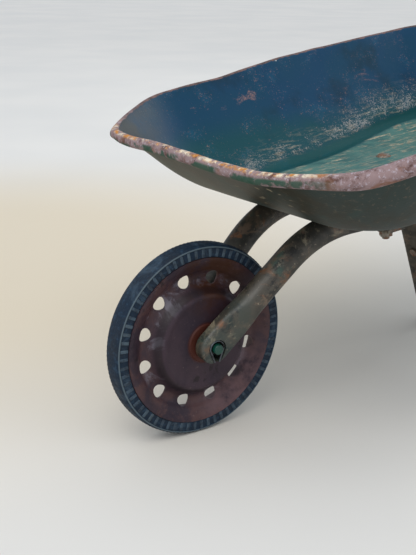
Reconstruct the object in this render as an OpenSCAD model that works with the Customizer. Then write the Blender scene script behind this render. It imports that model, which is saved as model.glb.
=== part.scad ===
// Child's wheelbarrow: pressed steel tray on two bent tubes, one disc wheel with a rubber tyre.
// -X is forward (the wheel end), +Z is up, and the origin is on the floor under the middle of the barrow.
// "left" and "right" are as the person at the handles sees them: left is -Y, right is +Y.

/* [Wheel] */
// Outside diameter of the tyre
tyre_d = 152.4; // [148:0.1:158]
// Greatest width of the tyre
tyre_w = 18; // [17.6:0.1:20]
// Number of round holes in the wheel disc
hole_count = 12; // [6:1:14]
// Diameter of each of those holes
hole_d = 10.6; // [6:0.1:12]
// Diameter of the axle rod
axle_d = 8; // [6:0.1:8.2]

/* [Frame tubes] */
// Outside diameter of the tube
tube_d = 21.3; // [20:0.1:22.5]
// Wall of the tube
tube_wall = 1.6; // [1.2:0.1:2]
// Angle at which each tube leaves the middle plane
splay = 7.4; // [6:0.1:9]
// Slope of the fork stretch, from the axle up to the first bend
fork_slope = 43; // [38:0.5:47]
// Length of the fork stretch
fork_len = 87.6; // [84:0.2:95]
// Slope of the long stretch under the tray
bed_slope = 5; // [3:0.5:7]
// Length of the long stretch under the tray
bed_len = 372; // [365:1:400]
// Slope of the riser behind the tray
riser_slope = 27; // [20:0.5:32]
// Length of the riser
riser_len = 62; // [50:1:90]
// Length of the level stretch that the grip goes on
grip_seat_len = 104; // [95:1:125]

/* [Tray] */
// Length of the tray over its rim
tray_len = 486; // [460:1:500]
// Width of the tray over its rim
tray_w = 370; // [340:1:390]
// Height of the top of the front lip above the floor panel
lip_h = 60; // [52:1:70]
// Thickness of the tray sheet
sheet = 1.3; // [1:0.1:1.5]
// Radius of the rolled rim, to the middle of the sheet
curl_r = 4.6; // [4.4:0.1:5.5]

/* [Legs and fittings] */
// Width of the flat steel bar of the legs and the strap
bar_w = 19; // [16:0.5:22]
// Thickness of that bar
bar_t = 3.2; // [2.5:0.1:4]
// Length of the flat of each foot
foot_len = 36; // [28:1:44]
// Length of a grip
grip_len = 114; // [108:1:135]
// Outside diameter of a grip
grip_d = 29; // [28:0.5:33]

/* [Hidden] */
$fn = 48;
LEFT = -1;
RIGHT = 1;

// Colours
OLD_PAINT = [0.36, 0.37, 0.31];
TEAL = [0.07, 0.25, 0.30];
RUST = [0.33, 0.22, 0.19];
BARE_STEEL = [0.45, 0.43, 0.40];
BLACK_RUBBER = [0.10, 0.13, 0.15];
AXLE_GREEN = [0.05, 0.30, 0.24];
BRONZE = [0.50, 0.38, 0.22];

tube_r = tube_d / 2;
tyre_r = tyre_d / 2;
axle_r = axle_d / 2;

// ================= The line that a frame tube follows, in its own upright plane =================
fork_bend_r = 95;
riser_bend_r = 90;
// Each step is ["line", length] or ["bend", radius, degrees upwards].
TUBE_STEPS = [
    ["line", fork_len],
    ["bend", fork_bend_r, bed_slope - fork_slope],
    ["line", bed_len],
    ["bend", riser_bend_r, riser_slope - bed_slope],
    ["line", riser_len],
    ["bend", riser_bend_r, -riser_slope],
    ["line", grip_seat_len]
];

// A place is [x, z, slope]. This is the place after one step from p.
function after(p, s) = s[0] == "line"
    ? [p[0] + s[1] * cos(p[2]), p[1] + s[1] * sin(p[2]), p[2]]
    : let (turn = s[2], side = sign(turn), r = s[1])
        [p[0] + side * r * (sin(p[2] + turn) - sin(p[2])),
         p[1] + side * r * (cos(p[2]) - cos(p[2] + turn)), p[2] + turn];
// The place after the first n steps from p
function along(steps, p, n) = n == 0 ? p : after(along(steps, p, n - 1), steps[n - 1]);

axle_place = [0, tyre_r, fork_slope];
bed_start = along(TUBE_STEPS, axle_place, 2);
tube_end = along(TUBE_STEPS, axle_place, len(TUBE_STEPS));

// The squashed end of a tube, at the axle
flat_h = 25;             // height
flat_t = 13.3;           // thickness
flat_y = 21.85;          // from the middle plane to its middle
flat_in = flat_y - flat_t / 2;
flat_out = flat_y + flat_t / 2;
flat_len = 17;           // from the axle to where it starts to fade
blend_len = 30;          // over which it fades into the round tube

// The barrow reaches from the front of the tyre to the back of the grips
grip_round = 4;
grip_end_x = (tube_end[0] + grip_len - grip_seat_len) * cos(splay) + (grip_d / 2 - grip_round) * sin(splay);
axle_x = (tyre_r - grip_end_x) / 2;

module from_axle() translate([axle_x, 0, 0]) children();
// The upright plane of one tube: X runs along it and Y across it
module tube_plane(side) from_axle() translate([0, side * flat_y, 0]) rotate([0, 0, side * splay]) children();

// The slope of the bed, seen from the side of the barrow
tray_tilt = atan(tan(bed_slope) / cos(splay));
function bed_x(d) = (bed_start[0] + d * cos(bed_slope)) * cos(splay);
function bed_y(d) = flat_y + (bed_start[0] + d * cos(bed_slope)) * sin(splay);
function bed_z(d) = bed_start[1] + d * sin(bed_slope);
// A place at a distance d along the long stretch, on the tube's middle line, with Z square to the tray floor
module on_bed(side, d)
    from_axle() translate([bed_x(d), side * bed_y(d), bed_z(d)]) rotate([0, -tray_tilt, 0]) children();

// The places at the ends of the steps, with each bend shared into equal parts
BEND_PARTS = 8;
function fine(steps) = [for (s = steps) each s[0] == "line" ? [s] :
    [for (k = [1:BEND_PARTS]) ["bend", s[1], s[2] / BEND_PARTS]]];
function trail(steps, p) = let (parts = fine(steps)) [for (i = [0:len(parts)]) along(parts, p, i)];
// The outline of a bar of thickness t that follows a trail
function bar_outline(places, t) = concat(
    [for (q = places) [q[0] - t / 2 * sin(q[2]), q[1] + t / 2 * cos(q[2])]],
    [for (i = [len(places) - 1:-1:0]) let (q = places[i]) [q[0] + t / 2 * sin(q[2]), q[1] - t / 2 * cos(q[2])]]);
// Triangles between rings of n points each, where the first and last rings are closed by flat faces
function skin(n, rings) = concat(
    [for (k = [0:rings - 2], i = [0:n - 1])
        let (a = k * n + i, b = k * n + (i + 1) % n, c = b + n, d = a + n) each [[a, b, c], [a, c, d]]],
    [[for (i = [n - 1:-1:0]) i], [for (i = [0:n - 1]) (rings - 1) * n + i]]);

// ================= Frame tubes =================
// The opening in the outer wall is pear shaped: a round top about the axle and a narrow foot below it
pear_r = 7.2;
pear_drop = 10.8;
pear_foot_r = 3;
running_gap = 0.08;
bolt_r = 3;
bolt_hole_r = 3.2;

// Bolts through tray, tube and strap or leg, and bolts through tube and leg
front_bolt_at = 36;
leg_front_at = 130;
tray_bolt_at = [front_bolt_at, leg_front_at];

// A station of a tube is [place, half height, half thickness, squareness]: squareness 2 is round.
TUBE_SIDES = 20;
flat_square = 4;
nose_r = flat_h / 2;
NOSE = [-0.985, -0.9, -0.72, -0.4, 0];           // as shares of the nose's radius
FADE = [0:0.2:1];                                // as shares of the fading length
function on_fork(s) = [s * cos(fork_slope), tyre_r + s * sin(fork_slope), fork_slope];
function mix(a, b, k) = a + (b - a) * k;
// wall is taken off all round, for the inside of the tube
function stations(wall) = let (r = nose_r - wall) concat(
    [for (k = NOSE) [on_fork(k * r), r * sqrt(1 - k * k), flat_t / 2 - wall, flat_square]],
    [for (k = FADE) let (e = k * k * (3 - 2 * k)) [on_fork(flat_len + k * blend_len),
        mix(nose_r, tube_r, e) - wall, mix(flat_t / 2, tube_r, e) - wall, mix(flat_square, 2, e)]],
    [for (q = trail([for (i = [1:len(TUBE_STEPS) - 1]) TUBE_STEPS[i]], along(TUBE_STEPS, axle_place, 1)))
        [q, tube_r - wall, tube_r - wall, 2]]);
function squared(v, p) = sign(v) * pow(abs(v), 2 / p);
function ring(st) = [for (k = [0:TUBE_SIDES - 1])
    let (a = 360 * k / TUBE_SIDES, up = st[1] * squared(sin(a), st[3]), slope = st[0][2])
    [st[0][0] - up * sin(slope), st[2] * squared(cos(a), st[3]), st[0][1] + up * cos(slope)]];

module tube_shell() {
    outer = stations(0);
    inner = stations(tube_wall);
    last = len(outer) - 1;
    points = concat([for (st = outer) each ring(st)], [for (i = [last:-1:0]) each ring(inner[i])]);
    polyhedron(points, skin(TUBE_SIDES, 2 * (last + 1)), convexity = 10);
}

module frame_tube(side) {
    color(OLD_PAINT) difference() {
        tube_plane(side) tube_shell();
        from_axle() translate([0, 0, tyre_r]) rotate([-90 * side, 0, 0]) {
            translate([0, 0, flat_in - 5]) cylinder(10, r = axle_r + running_gap);
            translate([0, 0, flat_y]) linear_extrude(flat_t) pear(side);
        }
        for (d = [front_bolt_at, leg_front_at, leg_rear_at])
            on_bed(side, d) cylinder(4 * tube_r, r = bolt_hole_r, center = true);
    }
}

// Seen along the axle from outside; the foot of the pear points down
module pear(side) {
    foot = side * pear_drop;
    circle(pear_r);
    translate([0, foot]) circle(pear_foot_r);
    polygon([[-pear_r, 0], [pear_r, 0], [pear_foot_r, foot], [-pear_foot_r, foot]]);
}

// ================= Tray =================
// It is worked out in its own frame: x from the axle, level with the bed, z from the underside of the floor.
lip_x = -9;              // front edge of the rolled lip
floor_front_x = 66;      // where the line of the front wall would meet the floor
floor_rear_x = 432;
floor_half_w = 114;
floor_corner_front = 46;
floor_corner_rear = 50;
rim_corner_front = 102;
rim_corner_rear = 80;
cove = 22;               // the floor starts to curve up this far inside the floor line
fullness = 0.3;          // how far the wall bellies out: 0 is a straight wall
lip_rise = 13;           // the rim climbs this much round the front corners
lip_rise_over = 90;
rim_rise = 0.047;        // and this much for each millimetre from front to rear
curl_turn = 255;         // how far the rim is rolled over

curl_reach = 1.82 * curl_r + sheet / 2;      // from the top of the wall out to the edge of the roll
curl_height = 0.42 * curl_r + sheet;         // and up to the top of the roll

// Half an outline, from beside the front middle to beside the rear middle
STRAIGHT_PARTS = 4;
function half_outline(front, rear, w, rf, rr) = concat(
    [for (i = [0:STRAIGHT_PARTS - 1]) [front, (w - rf) * (i + 0.5) / STRAIGHT_PARTS]],
    [for (i = [0:8]) let (a = 90 * i / 9) [front + rf * (1 - cos(a)), w - rf * (1 - sin(a))]],
    [for (i = [0:5]) [front + rf + (rear - rr - front - rf) * i / 6, w]],
    [for (i = [0:7]) let (a = 90 * i / 7) [rear - rr * (1 - cos(90 - a)), w - rr * (1 - sin(90 - a))]],
    [for (i = [0:STRAIGHT_PARTS - 1]) [rear, (w - rr) * (1 - (i + 0.5) / STRAIGHT_PARTS)]]);
// The whole outline: that half, then its mirror image back to the front
function outline(front, rear, w, rf, rr) = let (h = half_outline(front, rear, w, rf, rr), n = len(h))
    concat(h, [for (i = [n - 1:-1:0]) [h[i][0], -h[i][1]]]);

RIM = outline(lip_x + curl_reach, lip_x + tray_len - curl_reach, tray_w / 2 - curl_reach,
    rim_corner_front, rim_corner_rear);
FLOOR = outline(floor_front_x, floor_rear_x, floor_half_w, floor_corner_front, floor_corner_rear);
COLUMNS = len(RIM);
function wall_height(x) = let (u = x - lip_x)
    lip_h + lip_rise * sin(90 * min(1, u / lip_rise_over)) + rim_rise * u - curl_height;

// The middle of the sheet from the floor out to the end of the roll: [outward, up, heading]
WALL_STEPS = 8;
CURL_STEPS = 7;
// The slope of the wall where the roll starts
function wall_top(reach, height) = atan2(height, reach * (1 - fullness));
function section(reach, height) =
    let (top = wall_top(reach, height),
         belly = fullness * reach,
         wall = [for (i = [0:WALL_STEPS]) let (t = i / WALL_STEPS)
             [reach * t * t + 2 * belly * t * (1 - t) - cove * (1 - t) * (1 - t), height * t * t,
              atan2(height * t, reach * t + belly * (1 - 2 * t) + cove * (1 - t))]],
         roll = [for (i = [1:CURL_STEPS]) let (a = top - curl_turn * i / CURL_STEPS)
             [reach + curl_r * (sin(top) - sin(a)), height + curl_r * (cos(a) - cos(top)), a]])
    concat(wall, roll);
RINGS = WALL_STEPS + 1 + CURL_STEPS;

// A place on a column of the wall, given how far outward from the floor line and how high it is
function on_column(i, out, up) = let (d = RIM[i] - FLOOR[i], u = d / norm(d))
    [FLOOR[i][0] + u[0] * out, FLOOR[i][1] + u[1] * out, up + sheet / 2];
function column_section(i) = section(norm(RIM[i] - FLOOR[i]), wall_height(RIM[i][0]));
// One face of the sheet: 1 is the inside of the tray and -1 is its underside
function face_ring(s, face) = [for (i = [0:COLUMNS - 1]) let (m = column_section(i)[s])
    on_column(i, m[0] - face * sheet / 2 * sin(m[2]), m[1] + face * sheet / 2 * cos(m[2]))];

module in_tray() from_axle()
    translate([bed_start[0] * cos(splay), 0, bed_start[1]]) rotate([0, -tray_tilt, 0])
        translate([-bed_start[0] * cos(splay), 0, tube_r]) children();

module tray_shell() {
    inside = [for (s = [0:RINGS - 1]) each face_ring(s, 1)];
    underside = [for (s = [RINGS - 1:-1:0]) each face_ring(s, -1)];
    middle_x = (floor_front_x + floor_rear_x) / 2;
    last_ring = 2 * RINGS - 1;
    top_middle = 2 * RINGS * COLUMNS;
    sides = [for (k = [0:last_ring - 1], i = [0:COLUMNS - 1])
        let (a = k * COLUMNS + i, b = k * COLUMNS + (i + 1) % COLUMNS, c = b + COLUMNS, d = a + COLUMNS)
        each [[a, b, c], [a, c, d]]];
    top_fan = [for (i = [0:COLUMNS - 1]) [(i + 1) % COLUMNS, i, top_middle]];
    bottom_fan = [for (i = [0:COLUMNS - 1])
        [last_ring * COLUMNS + i, last_ring * COLUMNS + (i + 1) % COLUMNS, top_middle + 1]];
    polyhedron(concat(inside, underside, [[middle_x, 0, sheet], [middle_x, 0, 0]]),
        concat(sides, top_fan, bottom_fan), convexity = 8);
}

module tray_pan() {
    color(TEAL) difference() {
        in_tray() tray_shell();
        for (side = [LEFT, RIGHT], d = tray_bolt_at)
            on_bed(side, d) translate([0, 0, tube_r - 5]) cylinder(10, r = bolt_hole_r);
    }
}

// The steel wire that the rim is rolled round
wire_r = 3.2;
WIRE_SIDES = 8;
module rim_wire() {
    points = [for (i = [0:COLUMNS - 1], k = [0:WIRE_SIDES - 1])
        let (reach = norm(RIM[i] - FLOOR[i]), height = wall_height(RIM[i][0]), top = wall_top(reach, height))
        on_column(i, reach + curl_r * sin(top) + wire_r * cos(360 * k / WIRE_SIDES),
            height - curl_r * cos(top) + wire_r * sin(360 * k / WIRE_SIDES))];
    faces = [for (i = [0:COLUMNS - 1], k = [0:WIRE_SIDES - 1])
        let (j = (i + 1) % COLUMNS, m = (k + 1) % WIRE_SIDES, a = i * WIRE_SIDES + k,
             b = i * WIRE_SIDES + m, c = j * WIRE_SIDES + m, e = j * WIRE_SIDES + k)
        each [[a, b, c], [a, c, e]]];
    color(RUST) in_tray() polyhedron(points, faces, convexity = 4);
}

// ================= Cross strap and legs, of flat bar =================
strap_overhang = 12;
module front_cross_strap() {
    half = bed_y(front_bolt_at) + strap_overhang;
    color(OLD_PAINT) difference() {
        from_axle() translate([bed_x(front_bolt_at), 0, bed_z(front_bolt_at)]) rotate([0, -tray_tilt, 0])
            translate([-bar_w / 2, -half, -tube_r - bar_t]) cube([bar_w, 2 * half, bar_t]);
        for (side = [LEFT, RIGHT])
            on_bed(side, front_bolt_at) cylinder(4 * tube_r, r = bolt_hole_r, center = true);
    }
}

// A leg is one bar: flat under the tube, down to a flat foot, up again and flat under the tube
leg_pad = 13;            // each side of the bolt
leg_bend_r = 14;
leg_front_slope = 66;
leg_rear_slope = 74;
bed_line_z = bed_start[1] - (tube_r + bar_t / 2) / cos(bed_slope);
function bed_line(x) = bed_line_z + (x - bed_start[0]) * tan(bed_slope);
leg_start_x = bed_start[0] + (leg_front_at - leg_pad) * cos(bed_slope) + (tube_r + bar_t / 2) * sin(bed_slope);
leg_start = [leg_start_x, bed_line(leg_start_x), bed_slope];
leg_knee = along([["line", 2 * leg_pad], ["bend", leg_bend_r, -bed_slope - leg_front_slope]], leg_start, 2);
leg_down = (leg_knee[1] - bar_t / 2 - leg_bend_r * (1 - cos(leg_front_slope))) / sin(leg_front_slope);
// The rear stretch is as long as it has to be for the bar to come back to the tube
FOOT_STEPS = [["line", leg_down], ["bend", leg_bend_r, leg_front_slope], ["line", foot_len],
    ["bend", leg_bend_r, leg_rear_slope]];
leg_heel = along(FOOT_STEPS, leg_knee, 4);
leg_short = after(leg_heel, ["bend", leg_bend_r, bed_slope - leg_rear_slope]);
leg_up = (bed_line(leg_short[0]) - leg_short[1]) / (sin(leg_rear_slope) - tan(bed_slope) * cos(leg_rear_slope));
LEG_STEPS = concat(
    [["line", 2 * leg_pad], ["bend", leg_bend_r, -bed_slope - leg_front_slope]], FOOT_STEPS,
    [["line", leg_up], ["bend", leg_bend_r, bed_slope - leg_rear_slope], ["line", 2 * leg_pad]]);
leg_end = along(LEG_STEPS, leg_start, len(LEG_STEPS));
leg_rear_at = (leg_end[0] - bed_start[0] - (tube_r + bar_t / 2) * sin(bed_slope)) / cos(bed_slope) - leg_pad;

module leg(side) {
    color(OLD_PAINT) difference() {
        tube_plane(side) rotate([90, 0, 0]) translate([0, 0, -bar_w / 2])
            linear_extrude(bar_w) polygon(bar_outline(trail(LEG_STEPS, leg_start), bar_t));
        for (d = [leg_front_at, leg_rear_at])
            on_bed(side, d) translate([0, 0, -tube_r - 12]) cylinder(24, r = bolt_hole_r);
        on_strut(side) cylinder(20, r = rivet_r + 0.05, center = true);
    }
}

// The brace goes across behind the front stretches of both legs, and is riveted to them
brace_at = 78;           // down the stretch, from its top
brace_tab = 24;
rivet_r = 2.5;
brace_place = after(leg_knee, ["line", brace_at]);
module on_strut(side) tube_plane(side)
    translate([brace_place[0], 0, brace_place[1]]) rotate([0, leg_front_slope, 0]) children();
// Its ends are bent to lie flat on the two legs, which aren't parallel.
// In its outline X is across the barrow and Y is square to the leg.
brace_bend = asin(sin(leg_front_slope) * sin(splay));
brace_bend_r = 8;
brace_half = flat_y + brace_place[0] * sin(splay) + bar_t * sin(brace_bend);
brace_start = [-brace_half - brace_tab / 2 * cos(brace_bend),
    bar_t * cos(brace_bend) - brace_tab / 2 * sin(brace_bend), brace_bend];
BRACE_END = [["line", brace_tab], ["bend", brace_bend_r, -brace_bend]];
brace_middle = -2 * along(BRACE_END, brace_start, 2)[0];
BRACE_STEPS = concat(BRACE_END, [["line", brace_middle], BRACE_END[1], BRACE_END[0]]);
module leg_brace() {
    color(OLD_PAINT) difference() {
        from_axle() translate([brace_place[0] * cos(splay), 0, brace_place[1]])
            rotate([0, leg_front_slope, 0]) rotate([90, 0, 90]) translate([0, 0, -bar_w / 2])
                linear_extrude(bar_w) polygon(bar_outline(trail(BRACE_STEPS, brace_start), bar_t));
        for (side = [LEFT, RIGHT]) on_strut(side) cylinder(20, r = rivet_r + 0.05, center = true);
    }
}

rivet_head_r = 5;
rivet_head_h = 2.2;
module brace_rivets() {
    color(BARE_STEEL) for (side = [LEFT, RIGHT]) on_strut(side) {
        translate([0, 0, -bar_t / 2]) cylinder(2 * bar_t, r = rivet_r);
        translate([0, 0, -bar_t / 2 - 1.6]) cylinder(1.6, r = rivet_head_r - 1);
        translate([0, 0, 1.5 * bar_t]) dome(rivet_head_r, rivet_head_h);
    }
}

// A low round head with its flat face down
module dome(r, h) {
    ball = (r * r + h * h) / (2 * h);
    rotate_extrude() intersection() {
        translate([0, h - ball]) circle(ball, $fn = 120);
        square([r, h]);
    }
}

// ================= Bolts, washers and nuts =================
tray_top = tube_r + sheet;
washer_t = 1.2;
nut_r = 5.6;
nut_h = 4.6;
bolt_tail = 2.4;
under_bar = -tube_r - bar_t - 0.25;   // clear of the bar by a hair

module bolt(top, bottom) {
    translate([0, 0, bottom]) cylinder(top - bottom, r = bolt_r);
    translate([0, 0, top]) dome(7, 3);
}
module nut() difference() {
    cylinder(nut_h, r = nut_r, $fn = 6);
    translate([0, 0, -1]) cylinder(nut_h + 2, r = bolt_r + 0.02);
}
module washer(hole, r, t) difference() {
    cylinder(t, r = r);
    translate([0, 0, -1]) cylinder(t + 2, r = hole);
}
module at_tray_bolts() for (side = [LEFT, RIGHT], d = tray_bolt_at) on_bed(side, d) children();
module at_leg_bolts() for (side = [LEFT, RIGHT]) on_bed(side, leg_rear_at) children();

module tray_bolts() color(BARE_STEEL) at_tray_bolts()
    bolt(tray_top + 0.1, under_bar - washer_t - nut_h - bolt_tail);
module tray_bolt_washers() color(BARE_STEEL) at_tray_bolts()
    translate([0, 0, under_bar - washer_t]) washer(bolt_hole_r, 7.4, washer_t);
module tray_nuts() color(RUST) at_tray_bolts() translate([0, 0, under_bar - washer_t - nut_h]) nut();
module leg_bolts() color(BARE_STEEL) at_leg_bolts() bolt(tube_r, under_bar - nut_h - bolt_tail);
module leg_nuts() color(RUST) at_leg_bolts() translate([0, 0, under_bar - nut_h]) nut();

// ================= Grips =================
grip_neck_r = grip_d / 2 - 2;
grip_collar_len = 7;
module grip(side) {
    r = grip_d / 2;
    inner = tube_r + 0.03;
    place = along(TUBE_STEPS, axle_place, len(TUBE_STEPS) - 1);
    color(BLACK_RUBBER) tube_plane(side) translate([place[0], 0, place[1]]) rotate([0, 90, 0])
        rotate_extrude() difference() {
            union() {
                square([r, grip_collar_len]);
                square([grip_neck_r, grip_len - grip_round]);
                translate([0, grip_len - 26]) square([r, 26 - grip_round]);
                square([r - grip_round, grip_len]);
                translate([r - grip_round, grip_len - grip_round]) circle(grip_round);
            }
            translate([0, -1]) square([inner, grip_seat_len + 1.05]);
            translate([-r, -1]) square([r, grip_len + 2]);
        }
}

// ================= Axle and what holds it =================
axle_half = 31;
wire_clip_r = 0.8;
clip_out = flat_out - 0.8;   // the clip lies level with the outer wall
retainer_len = 6;

// Children stand on the axle's line with Z pointing away from the wheel on that side
module on_axle(side) from_axle() translate([0, 0, tyre_r]) rotate([-90 * side, 0, 0]) children();

module axle_rod() color(AXLE_GREEN) from_axle() translate([0, 0, tyre_r]) rotate([90, 0, 0]) {
    chamfer = 0.7;
    rotate_extrude() polygon([[0, -axle_half], [axle_r - chamfer, -axle_half], [axle_r, -axle_half + chamfer],
        [axle_r, axle_half - chamfer], [axle_r - chamfer, axle_half], [0, axle_half]]);
}

// A wire bent to a pear: a round top about the axle and two legs that close in below it
module axle_clip(side) {
    bend_r = pear_r - wire_clip_r - 0.15;
    foot_half = pear_foot_r - wire_clip_r - 0.15;
    lean = atan((bend_r - foot_half) / pear_drop);
    leg_len = pear_drop / cos(lean);
    color(BARE_STEEL) on_axle(side) translate([0, 0, clip_out]) rotate([0, 0, side > 0 ? 180 : 0]) {
        rotate_extrude(angle = 180) translate([bend_r, 0]) circle(wire_clip_r, $fn = 24);
        for (x = [-1, 1]) translate([x * bend_r, 0, 0]) {
            sphere(wire_clip_r, $fn = 24);
            rotate([0, 0, -x * lean]) rotate([90, 0, 0]) cylinder(leg_len, r = wire_clip_r, $fn = 24);
        }
    }
}

module axle_retainer(side) color(BARE_STEEL) on_axle(side)
    translate([0, 0, flat_in + tube_wall + 1]) washer(axle_r, 5.4, retainer_len);

hub_half = 13.2;         // half of the length of the hub tube
flange_t = 0.7;          // of the bush, outside the hub tube
washer_face = hub_half + flange_t + 0.1;
// A tapered washer: one face is square to the axle and the other lies along the splayed tube
module axle_washer(side) color(BARE_STEEL) difference() {
    on_axle(side) translate([0, 0, washer_face]) washer(axle_r + running_gap, 5.6, 2);
    tube_plane(side) translate([0, side * (flat_in - flat_y - 0.12 + 10), tyre_r]) cube([40, 20, 40], center = true);
}

// ================= Wheel =================
disc_t = 1.2;
disc_proud = 12.4;       // how far the middle of the disc stands out from the middle plane
disc_r = 63.2;
hole_circle_r = 49.8;
hole_phase = 14.9;
hub_r = 8;
bush_r = 6.2;
seat_r = 57.4;           // the tyre's base stands on the clamp ring's outside
// The outer face of the disc: [radius, distance from the middle plane]
DISC_FACE = [[disc_r, 8.6], [57.6, 5], [56, 4.4], [53.5, 1.7], [49.8, 1], [46.5, 1.7], [43.5, 4.7], [40.2, 9.6],
    [38, 11.8], [35.5, disc_proud], [hub_r, disc_proud]];
// The boss pressed up round the hub
boss_r = 14;
boss_h = 1.3;

module left_side() from_axle() translate([0, 0, tyre_r]) rotate([90, 0, 0]) children();
// A sheet with the given face, thickened towards the middle plane
module pressed(face) rotate_extrude($fn = 96)
    polygon(concat(face, [for (i = [len(face) - 1:-1:0]) face[i] - [0, disc_t]]));

module wheel_disc() color(RUST) left_side() difference() {
    union() {
        pressed(DISC_FACE);
        translate([0, 0, disc_proud - disc_t]) difference() {
            cylinder(disc_t + boss_h, r1 = boss_r + 1, r2 = boss_r - 1);
            translate([0, 0, -1]) cylinder(9, r = hub_r);
        }
    }
    for (i = [0:hole_count - 1]) rotate([0, 0, hole_phase + 360 * i / hole_count])
        translate([hole_circle_r, 0, -20]) cylinder(40, r = hole_d / 2);
}

// A cone behind the disc, which carries the other end of the hub
back_plate_r = 34;
back_plate_top_r = 23;
module hub_back_plate() {
    near = -disc_proud + disc_t;
    color(RUST) from_axle() translate([0, 0, tyre_r]) rotate([-90, 0, 0])
        rotate_extrude($fn = 96) polygon([[back_plate_r, near], [back_plate_r, near + disc_t],
            [back_plate_r - 2, near + disc_t], [back_plate_top_r, disc_proud], [hub_r, disc_proud],
            [hub_r, disc_proud - disc_t], [back_plate_top_r - 1, disc_proud - disc_t], [back_plate_r - 3, near]]);
}

// The ring that closes the seat of the tyre, welded to the disc
module tyre_clamp_ring() color(RUST) from_axle() translate([0, 0, tyre_r]) rotate([-90, 0, 0])
    rotate_extrude($fn = 96) polygon([[seat_r - disc_t, -3.1], [seat_r, -3.1], [seat_r, 4.2], [disc_r, 7.5],
        [disc_r, 8.7], [seat_r - disc_t, 5]]);

module hub_tube() color(RUST) left_side() translate([0, 0, -hub_half]) difference() {
    cylinder(2 * hub_half, r = hub_r);
    translate([0, 0, -1]) cylinder(2 * hub_half + 2, r = bush_r);
}

module hub_bush(side) color(BRONZE) on_axle(side) difference() {
    union() {
        translate([0, 0, 2]) cylinder(hub_half - 2 + flange_t, r = bush_r);
        translate([0, 0, hub_half]) cylinder(flange_t, r = hub_r - 0.2);
    }
    cylinder(40, r = axle_r + running_gap);
}

module tyre() color(BLACK_RUBBER) left_side() rotate_extrude($fn = 96) {
    w = tyre_w / 2;
    half = [[seat_r + 0.2, 3.3], [disc_r + 0.3, 6.9], [disc_r + 0.3, w - 0.3], [tyre_r - 10, w], [tyre_r - 5, w - 0.3],
        [tyre_r - 2.2, w - 1.9], [tyre_r - 0.7, w - 4.2], [tyre_r, w - 7]];
    polygon(concat(half, [for (i = [len(half) - 1:-1:0]) [half[i][0], -half[i][1]]]));
}

tray_pan();
rim_wire();
frame_tube(LEFT);  // left_frame_tube
frame_tube(RIGHT);  // right_frame_tube
front_cross_strap();
leg(LEFT);  // left_leg
leg(RIGHT);  // right_leg
leg_brace();
grip(LEFT);  // left_grip
grip(RIGHT);  // right_grip
axle_rod();
axle_clip(LEFT);  // left_axle_clip
axle_clip(RIGHT);  // right_axle_clip
axle_retainer(LEFT);  // left_axle_retainer
axle_retainer(RIGHT);  // right_axle_retainer
axle_washer(LEFT);  // left_axle_washer
axle_washer(RIGHT);  // right_axle_washer
wheel_disc();
hub_back_plate();
tyre_clamp_ring();
hub_tube();
hub_bush(LEFT);  // left_hub_bush
hub_bush(RIGHT);  // right_hub_bush
tyre();
tray_bolts();
tray_bolt_washers();
tray_nuts();
leg_bolts();
leg_nuts();
brace_rivets();
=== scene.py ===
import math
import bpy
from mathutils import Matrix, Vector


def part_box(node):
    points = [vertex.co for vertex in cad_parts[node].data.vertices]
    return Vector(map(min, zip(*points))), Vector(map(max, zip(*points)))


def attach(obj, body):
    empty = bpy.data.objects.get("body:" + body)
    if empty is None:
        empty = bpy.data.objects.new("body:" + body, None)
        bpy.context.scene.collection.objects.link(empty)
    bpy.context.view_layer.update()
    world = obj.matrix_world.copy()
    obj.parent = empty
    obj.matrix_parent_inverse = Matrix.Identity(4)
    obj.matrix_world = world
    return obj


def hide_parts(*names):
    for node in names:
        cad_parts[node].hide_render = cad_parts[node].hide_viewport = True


bl_info = {
    "name": "Old Toy Barrow",
    "version": (1, 0, 0),
    "blender": (4, 5, 0),
    "location": "3D View > Sidebar > Barrow",
    "description": "Makes the visible pieces, the worn finishes and the stage of a pressed steel child's wheelbarrow",
    "category": "Object",
}

import bmesh
import bpy
from mathutils import Matrix, Vector, noise

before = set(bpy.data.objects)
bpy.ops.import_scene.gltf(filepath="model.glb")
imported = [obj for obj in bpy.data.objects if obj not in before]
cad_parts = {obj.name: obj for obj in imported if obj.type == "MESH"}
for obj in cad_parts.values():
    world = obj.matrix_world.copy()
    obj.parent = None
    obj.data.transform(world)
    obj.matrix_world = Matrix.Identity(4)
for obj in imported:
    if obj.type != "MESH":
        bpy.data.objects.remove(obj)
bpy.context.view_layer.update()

# Sizes in this script are in millimetres unless their name or unit says otherwise.
MM = 0.001
LEFT, RIGHT = -1, 1
SIDES = {"left": LEFT, "right": RIGHT}


def cad_box(node):
    """The lowest and highest corners of a CAD node, in millimetres."""
    low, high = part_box(node)
    return low / MM, high / MM


def colour(red, green, blue):
    """A colour given in everyday 0 to 255 steps, as the linear values that shaders use."""
    def linear(step):
        share = step / 255
        return share / 12.92 if share <= 0.04045 else ((share + 0.055) / 1.055) ** 2.4
    return (linear(red), linear(green), linear(blue), 1.0)


# ================= Places that the frame gives =================
tyre_low, tyre_high = cad_box("tyre")
TYRE_R = (tyre_high.z - tyre_low.z) / 2
AXLE = Vector(((tyre_low.x + tyre_high.x) / 2, 0, (tyre_low.z + tyre_high.z) / 2))
tray_low, tray_high = cad_box("tray_pan")
TRAY_W = tray_high.y - tray_low.y
grip_low, grip_high = cad_box("left_grip")
GRIP_R = (grip_high.z - grip_low.z) / 2
GRIP_Z = (grip_high.z + grip_low.z) / 2


# ================= Settings that a user would change =================
def size(name, default, description):
    return bpy.props.FloatProperty(name=name, default=default, min=0,
                                   description=description + ", in millimetres")


def angle(name, degrees, description):
    return bpy.props.FloatProperty(
        name=name, default=math.radians(degrees), subtype="ANGLE", unit="ROTATION", description=description)


def number(name, default, description):
    return bpy.props.IntProperty(name=name, default=default, min=1, description=description)


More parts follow.
